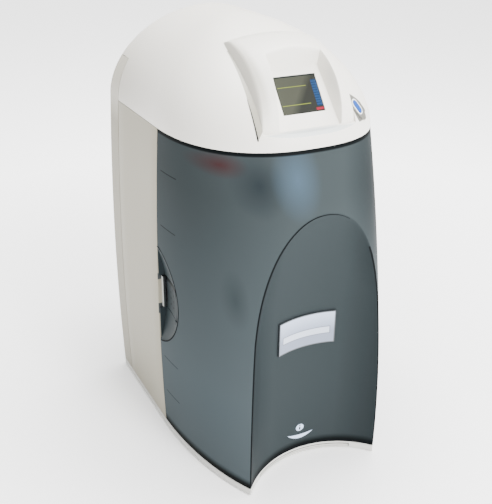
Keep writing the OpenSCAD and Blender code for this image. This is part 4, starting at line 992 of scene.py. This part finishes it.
def dress_door(colour, x, y, z):
    """Smoked wall: lighter low down as a painted reflection of the floor, painted shade in the scoop, patches of
    painted highlight, reflection and shade, a darker rim, and rib lines.
    """
    # painted reflection of the floor, lighter low down
    out = blend(falling(z, *DOOR_LOW), colour, DOOR_FLOOR_REFLECTION)
    scoop = blend(rising(abs(x), *SCOOP_EDGE) * SCOOP_EDGE_SHARE, SCOOP_SHADE, SCOOP_EDGE_SHADE)
    out = blend(scoop_mask(x, y, z), out, scoop)
    for x0, z0, across, tall, share, tone in DOOR_REFLECTIONS_AND_SHADE:
        out = blend(patch(x, z, x0, z0, across, tall) * share, out, tone)
    out = blend(span(z, *DOOR_HEAD, 1.5), out, DOOR_DARK)
    out = blend(falling(z, *DOOR_FOOT), out, DOOR_DARK)
    for low in RIB_FEET:
        line = span(z, low, low + RIB_LINE_TALL, 0.5) * span(y, *RIB_LINE_ENDS, 2.0)
        out = blend(line * RIB_LINE_SHARE, out, DOOR_DARK)
    return out


# Latch lever: grip dots by their half-pitch up and along, start along, squared radius and field; joints at the ends
DOT_PITCH_UP, DOT_PITCH_ALONG, DOT_START, DOT_SIZE = 4.5, 6, 31, 2.6
DOT_ALONG, DOT_UP = (-37, -13), (CUP_Z - 12, CUP_Z + 20)
LEVER_HALF, LEVER_DARK = 22.4, (0.001, 0.0012, 0.0014)


def dress_lever(colour, x, y, z):
    """Two rows of small grip dots, and a dark joint at each end."""
    up = z - CUP_Z
    row, column = maths("PINGPONG", up, DOT_PITCH_UP), maths("PINGPONG", y + DOT_START, DOT_PITCH_ALONG)
    dots = maths("LESS_THAN", row * row + column * column, DOT_SIZE)
    field = span(y, *DOT_ALONG, 0.1) * span(z, *DOT_UP, 0.1)
    ends = maths("GREATER_THAN", abs(up), LEVER_HALF)
    return blend(maths("MAXIMUM", dots * field, ends), colour, LEVER_DARK)


# Plate: its face and the band on it
PLATE_HALF, PLATE_UP, PLATE_LOW = 41, (184, 229.5), (227, 26)
PLATE_LOW_TONE, PLATE_EDGE = (0.15, 0.18, 0.25), (0.03, 0.035, 0.04)
BAND_HALF, BAND_LOW, BAND_HIGH, BAND_LINE = 36, 197, 208.6, 1.1
BAND_TONE, BAND_EDGE = (0.42, 0.47, 0.56), (0.09, 0.105, 0.15)


def dress_plate(colour, x, y, z):
    """Dark edge all round, and a plain pale band with a thin outline."""
    out = blend(falling(z, *PLATE_LOW), colour, PLATE_LOW_TONE)
    for inset, tone in ((0.0, BAND_EDGE), (BAND_LINE, BAND_TONE)):
        half = BAND_HALF - inset
        band = span(z, BAND_LOW + inset, BAND_HIGH - inset, 0.4) * span(x, -half, half, 0.4)
        out = blend(band, out, tone)
    return blend(span(z, *PLATE_UP, 0.6) * span(x, -PLATE_HALF, PLATE_HALF, 0.6), PLATE_EDGE, out)


# Side panel's front edge, keeper bars, rear housing and floor: tones, and where they lie
EDGE_SHADE, EDGE_INNER, EDGE_PALE = (0.018, 0.023, 0.024), (138.6, 0.6), (209.5, 247)
EDGE_DEEP, EDGE_UP = 1.6, (CUP_Z - 32, CUP_Z + 32)
KEEPER_TONE, KEEPER_SIDE = (0.42, 0.44, 0.42), 139.2
REAR_WHITE, REAR_HIGH, REAR_SHARE = (0.47, 0.445, 0.38), (425, 35), 0.95
FLOOR_NEAR, FLOOR_FAR, FLOOR_ROUND, FLOOR_GLOW = (0.16, 0.16, 0.16), (1, 1, 1), (250, 900), 2.5


def dress_panel(colour, x, y, z):
    """The front edge behind the finger cup lies in shade, apart from one pale stretch."""
    pale = (1.0 - falling(abs(x), *EDGE_INNER)) * span(z, *EDGE_PALE, 0.8)
    edge = maths("LESS_THAN", y, EDGE_DEEP) * span(z, *EDGE_UP, 2.0)
    return blend(edge * (1.0 - pale), colour, EDGE_SHADE)


def dress_keeper(colour, x, y, z):
    """Pale outer side; the dark front is painted shade."""
    return blend(maths("GREATER_THAN", abs(x), KEEPER_SIDE), colour, KEEPER_TONE)


def dress_rear(colour, x, y, z):
    """The cream turns white towards the dome."""
    return blend(rising(z, *REAR_HIGH) * REAR_SHARE, colour, REAR_WHITE)


def dress_floor(colour, x, y, z):
    """A little light of its own, less near the part, so that the floor reads as white paper."""
    light_up(blend(rising(distance(x, y), *FLOOR_ROUND), FLOOR_NEAR, FLOOR_FAR), FLOOR_GLOW)
    return colour


# Name, colour, gloss and its spread, tone of the drift, scales of drift and grain, bump, and what else differs
LOOKS = {
    "cream": material("panel_cream", (0.3, 0.277, 0.208), 0.5, 0.1, 0.955, 7, 1300, 0.05, specular=0.35,
        dress=dress_panel),
    # the rear housing's cream is the side panels' cream painted darker, as painted shade
    "rear": material("rear_cream_in_shade", (0.265, 0.245, 0.185), 0.5, 0.1, 0.955, 7, 1300, 0.05, specular=0.35,
        dress=dress_rear),
    "smoke": material("smoked_door", (0.032, 0.04, 0.0415), 0.5, 0.08, 0.85, 5, 1500, 0.015, specular=0.014,
        dress=dress_door),
    "smoke_trim": material("smoked_trim", (0.026, 0.035, 0.038), 0.5, 0.1, 0.9, 9, 1500, 0.03, specular=0.05),
    # the keeper bars' dark colour is painted shade; their pale outer side is set in dress_keeper
    "keeper": material("keeper_bar_in_shade", (0.02, 0.024, 0.025), 0.5, 0.1, 0.93, 12, 1300, 0.05, specular=0.2,
        dress=dress_keeper),
    "lever": material("latch_lever", (0.03, 0.038, 0.041), 0.5, 0.1, 0.9, 20, 1500, 0.05, specular=0.05,
        dress=dress_lever),
    "plate": material("pale_plate", (0.36, 0.43, 0.56), 0.3, 0.08, 0.96, 12, 1500, 0.02, coat=0.3,
        dress=dress_plate),
    "dome": material("dome_white", (0.76, 0.735, 0.675), 0.42, 0.1, 0.965, 6, 1300, 0.03, dress=dress_dome),
    # the base's white is the dome's white painted darker: painted shade on its upright face
    "base": material("base_white_in_shade", (0.58, 0.575, 0.54), 0.45, 0.1, 0.965, 6, 1300, 0.03),
    "visor": material("visor_white", (0.76, 0.735, 0.675), 0.42, 0.1, 0.965, 6, 1300, 0.03, dress=dress_visor),
    "grey": material("part_grey", (0.3, 0.31, 0.31), 0.5, 0.12, 0.9, 14, 1100, 0.05),
    "dark": material("dark_grey", (0.045, 0.05, 0.053), 0.52, 0.12, 0.8, 16, 1100, 0.06),
    "black": material("black_plastic", (0.014, 0.014, 0.016), 0.4, 0.12, 0.7, 20, 1200, 0.05),
    "clean": material("plain_white", (0.86, 0.86, 0.84), 0.34, 0.1, 0.965, 8, 1200, 0.02, coat=0.15),
    "blue": material("button_blue", (0.009, 0.06, 0.27), 0.4, 0.08, 0.85, 30, 1500, 0.02, specular=0.25),
    "screen": material("screen_window", (0.036, 0.038, 0.028), 0.2, 0.06, 0.85, 30, 2000, 0, coat=0.15,
        specular=0.3, dress=dress_screen),
    "board": material("board_green", (0.03, 0.13, 0.06), 0.45, 0.12, 0.8, 60, 800, 0.08),
    "steel": material("sheet_steel", (0.55, 0.56, 0.57), 0.36, 0.16, 0.92, 40, 700, 0.05, metallic=1.0),
    "brass": material("brass", (0.62, 0.46, 0.18), 0.3, 0.14, 0.9, 60, 900, 0.04, metallic=1.0),
    "rubber": material("rubber", (0.022, 0.022, 0.024), 0.75, 0.12, 0.8, 30, 900, 0.12),
    "tube": material("tube", (0.42, 0.6, 0.78), 0.28, 0.08, 0.94, 20, 900, 0.02, coat=0.2),
    "print": material("white_print", (0.52, 0.64, 0.86), 0.5, 0.08, 0.95, 40, 1500, 0.02),
    "joint": material("joint_shade", (0.07, 0.062, 0.048), 0.6, 0.1, 0.9, 30, 1200, 0.03, specular=0.1),
    # dark lines: joints, ribs seen through, print, and painted shade along the door's creases
    "seam": material("dark_line_and_crease_shade", (0.004, 0.005, 0.0055), 0.7, 0.1, 0.8, 30, 1200, 0.03, specular=0.03),
    "card": material("card", (0.42, 0.42, 0.4), 0.5, 0.1, 0.95, 20, 1200, 0.03),
    "floor": material("floor_pale", (0.93, 0.93, 0.93), 0.6, 0.05, 0.99, 1, 200, 0, specular=0.2,
        dress=dress_floor),
}

# CAD pieces that are shown as they are
NODE_LOOKS = {
    "base": "card_tray",
    "keeper": "door_keepers",
    "smoke_trim": "left_finger_cup right_finger_cup",
    "lever": "left_latch_lever right_latch_lever",
    "plate": "door_plate",
    "dome": "key_panel",
    "grey": "pack_handle pump_cradle reject_port rear_grille",
    "dark": "pack_dock membrane_clips pump_motor valve_coil board_parts connection_panel power_inlet switch_frame "
            "conductivity_cells",
    "black": "power_rocker",
    "clean": "button_ring pretreatment_pack membrane_housing pump_head inlet_valve feed_port polishing_stack",
    "blue": "standby_button pack_band membrane_caps product_port",
    "screen": "screen_lens",
    "board": "display_board main_board",
    "steel": "lcd_module chassis latch_pins pack_shelf polishing_end_plates polishing_tie_rods "
             "power_supply board_posts panel_screws",
    "brass": "inlet_blades",
    "rubber": "feet",
    "tube": "feed_tube pressure_tube permeate_tube product_tube reject_tube",
    "card": "info_card",
}


def wear(obj, look):
    obj.data.materials.clear()
    obj.data.materials.append(LOOKS[look])


for node_look, node_names in NODE_LOOKS.items():
    for node_name in node_names.split():
        wear(NODES[node_name], node_look)


# Shells in place of the faceted CAD shells, with the lines and prints on them

def add(name, look, shape, body, slot, stands_for=(), cuts=(), sharp=SHARP):
    """A piece with its openings and its look."""
    obj = piece(name, *shape, body=body, sharp=sharp, stands_for=stands_for, slot=slot)
    for tool in cuts:
        cut_away(obj, tool)
    wear(obj, look)


add("right_panel_skin", "cream", right_panel(), "housing", "panel_cream", ["right_side_panel"])
add("left_panel_skin", "cream", mirrored(right_panel()), "housing", "panel_cream", ["left_side_panel"])
add("rear_skin", "rear", rear_housing(), "housing", "panel_cream", ["rear_housing"],
    cuts=[joined(*(box_shape(*corners) for corners in REAR_OPENINGS))])
add("dome_skin", "dome", dome(), "housing", "shell_white", ["top_cover"],
    cuts=[mouth_cutter(), pocket_cutter(), leaf_cutter()])
add("visor_skin", "visor", visor(), "housing", "shell_white", ["display_bezel"], sharp=VISOR_SHARP)
add("visor_joint", "seam", visor_foot_line(), "housing", "black")
add("door_skin", "smoke", door(), "door", "smoke", ["front_door"], cuts=[cup_cutter(1), cup_cutter(-1)])
add("door_rib_lines", "seam", door_ribs(), "door", "smoke")
add("left_cup_rim", "seam", cup_rim(-1), "door", "smoke")
add("right_cup_rim", "seam", cup_rim(1), "door", "smoke")
add("left_crease", "seam", crease_line(-1, LEFT_CREASE_TOP), "door", "smoke")
add("top_crease", "seam", arch_line(), "door", "smoke")
add("right_crease", "seam", crease_line(1, RIGHT_CREASE_TOP), "door", "smoke")
add("oval_mark", "print", oval_mark(*SIGN_OVAL, PRINT_LIFT), "door", "pale_plate")
add("info_mark", "seam", info_mark(), "door", "black")
add("crescent_mark", "print", crescent_mark(), "door", "pale_plate")
add("base_skin", "base", base(), "housing", "shell_white", ["base_plate"], cuts=[box_shape(*TRAY_SLOT)])
add("tray_slot_shade", "joint", tray_line(), "housing", "shell_white")

# Studio, in metres

FLOOR_REACH, SKY_STRENGTH = 30, 0.45
# Lamps: name, place, aim, size, power
LAMPS = (
    ("key", (0.4, -1.9, 1.7), (0, 0, 0.3), 1.2, 55),
    ("top", (0.2, 0.1, 2.2), (0, 0, 0.4), 1.6, 145),
    ("fill", (1.6, -1.0, 0.9), (0, 0, 0.3), 1.4, 15),
    ("window", (0.376, -2.025, 1.016), (-0.03, -0.16, 0.42), 0.6, 60),
)
# Camera at the photograph's angle: azimuth, elevation and roll in degrees, place, lens and sensor in millimetres
CAMERA_ANGLES, CAMERA_PLACE, CAMERA_LENS, CAMERA_SENSOR = (-27.7, 26, 0.7), (-0.469, -0.8723, 0.7398), 55.4, 36


def add_lamp(name, spot, aim, size, power):
    data = bpy.data.lights.new(name, "AREA")
    data.shape, data.size, data.energy = "DISK", size, power
    lamp = into_scene(name, data)
    lamp.location = spot
    lamp.rotation_euler = (Vector(aim) - Vector(spot)).to_track_quat("-Z", "Y").to_euler()


def add_sky():
    world = bpy.data.worlds.new("studio")
    world.use_nodes = True
    sky = world.node_tree.nodes["Background"]
    sky.inputs["Color"].default_value = (1, 1, 1, 1)
    sky.inputs["Strength"].default_value = SKY_STRENGTH
    bpy.context.scene.world = world


def add_camera():
    azimuth, elevation, roll = (radians(angle) for angle in CAMERA_ANGLES)
    level = cos(elevation)
    back = Vector((sin(azimuth) * level, -cos(azimuth) * level, sin(elevation)))
    right = (-back).cross(Vector((0, 0, 1))).normalized()
    up = right.cross(-back)
    right, up = right * cos(roll) + up * sin(roll), up * cos(roll) - right * sin(roll)
    data = bpy.data.cameras.new("camera")
    data.sensor_width, data.lens = CAMERA_SENSOR, CAMERA_LENS
    data.clip_start, data.clip_end = 0.01, 100.0
    camera = into_scene("camera", data)
    camera.matrix_world = Matrix.Translation(CAMERA_PLACE) @ Matrix((right, up, back)).transposed().to_4x4()
    bpy.context.scene.camera = camera


floor_mesh = bpy.data.meshes.new("floor")
floor_corners = [(x * FLOOR_REACH, y * FLOOR_REACH, 0) for x, y in ((-1, -1), (1, -1), (1, 1), (-1, 1))]
floor_mesh.from_pydata(floor_corners, [], [(0, 1, 2, 3)])
floor = into_scene("floor", floor_mesh)
wear(floor, "floor")
for lamp_settings in LAMPS:
    add_lamp(*lamp_settings)
add_sky()
add_camera()
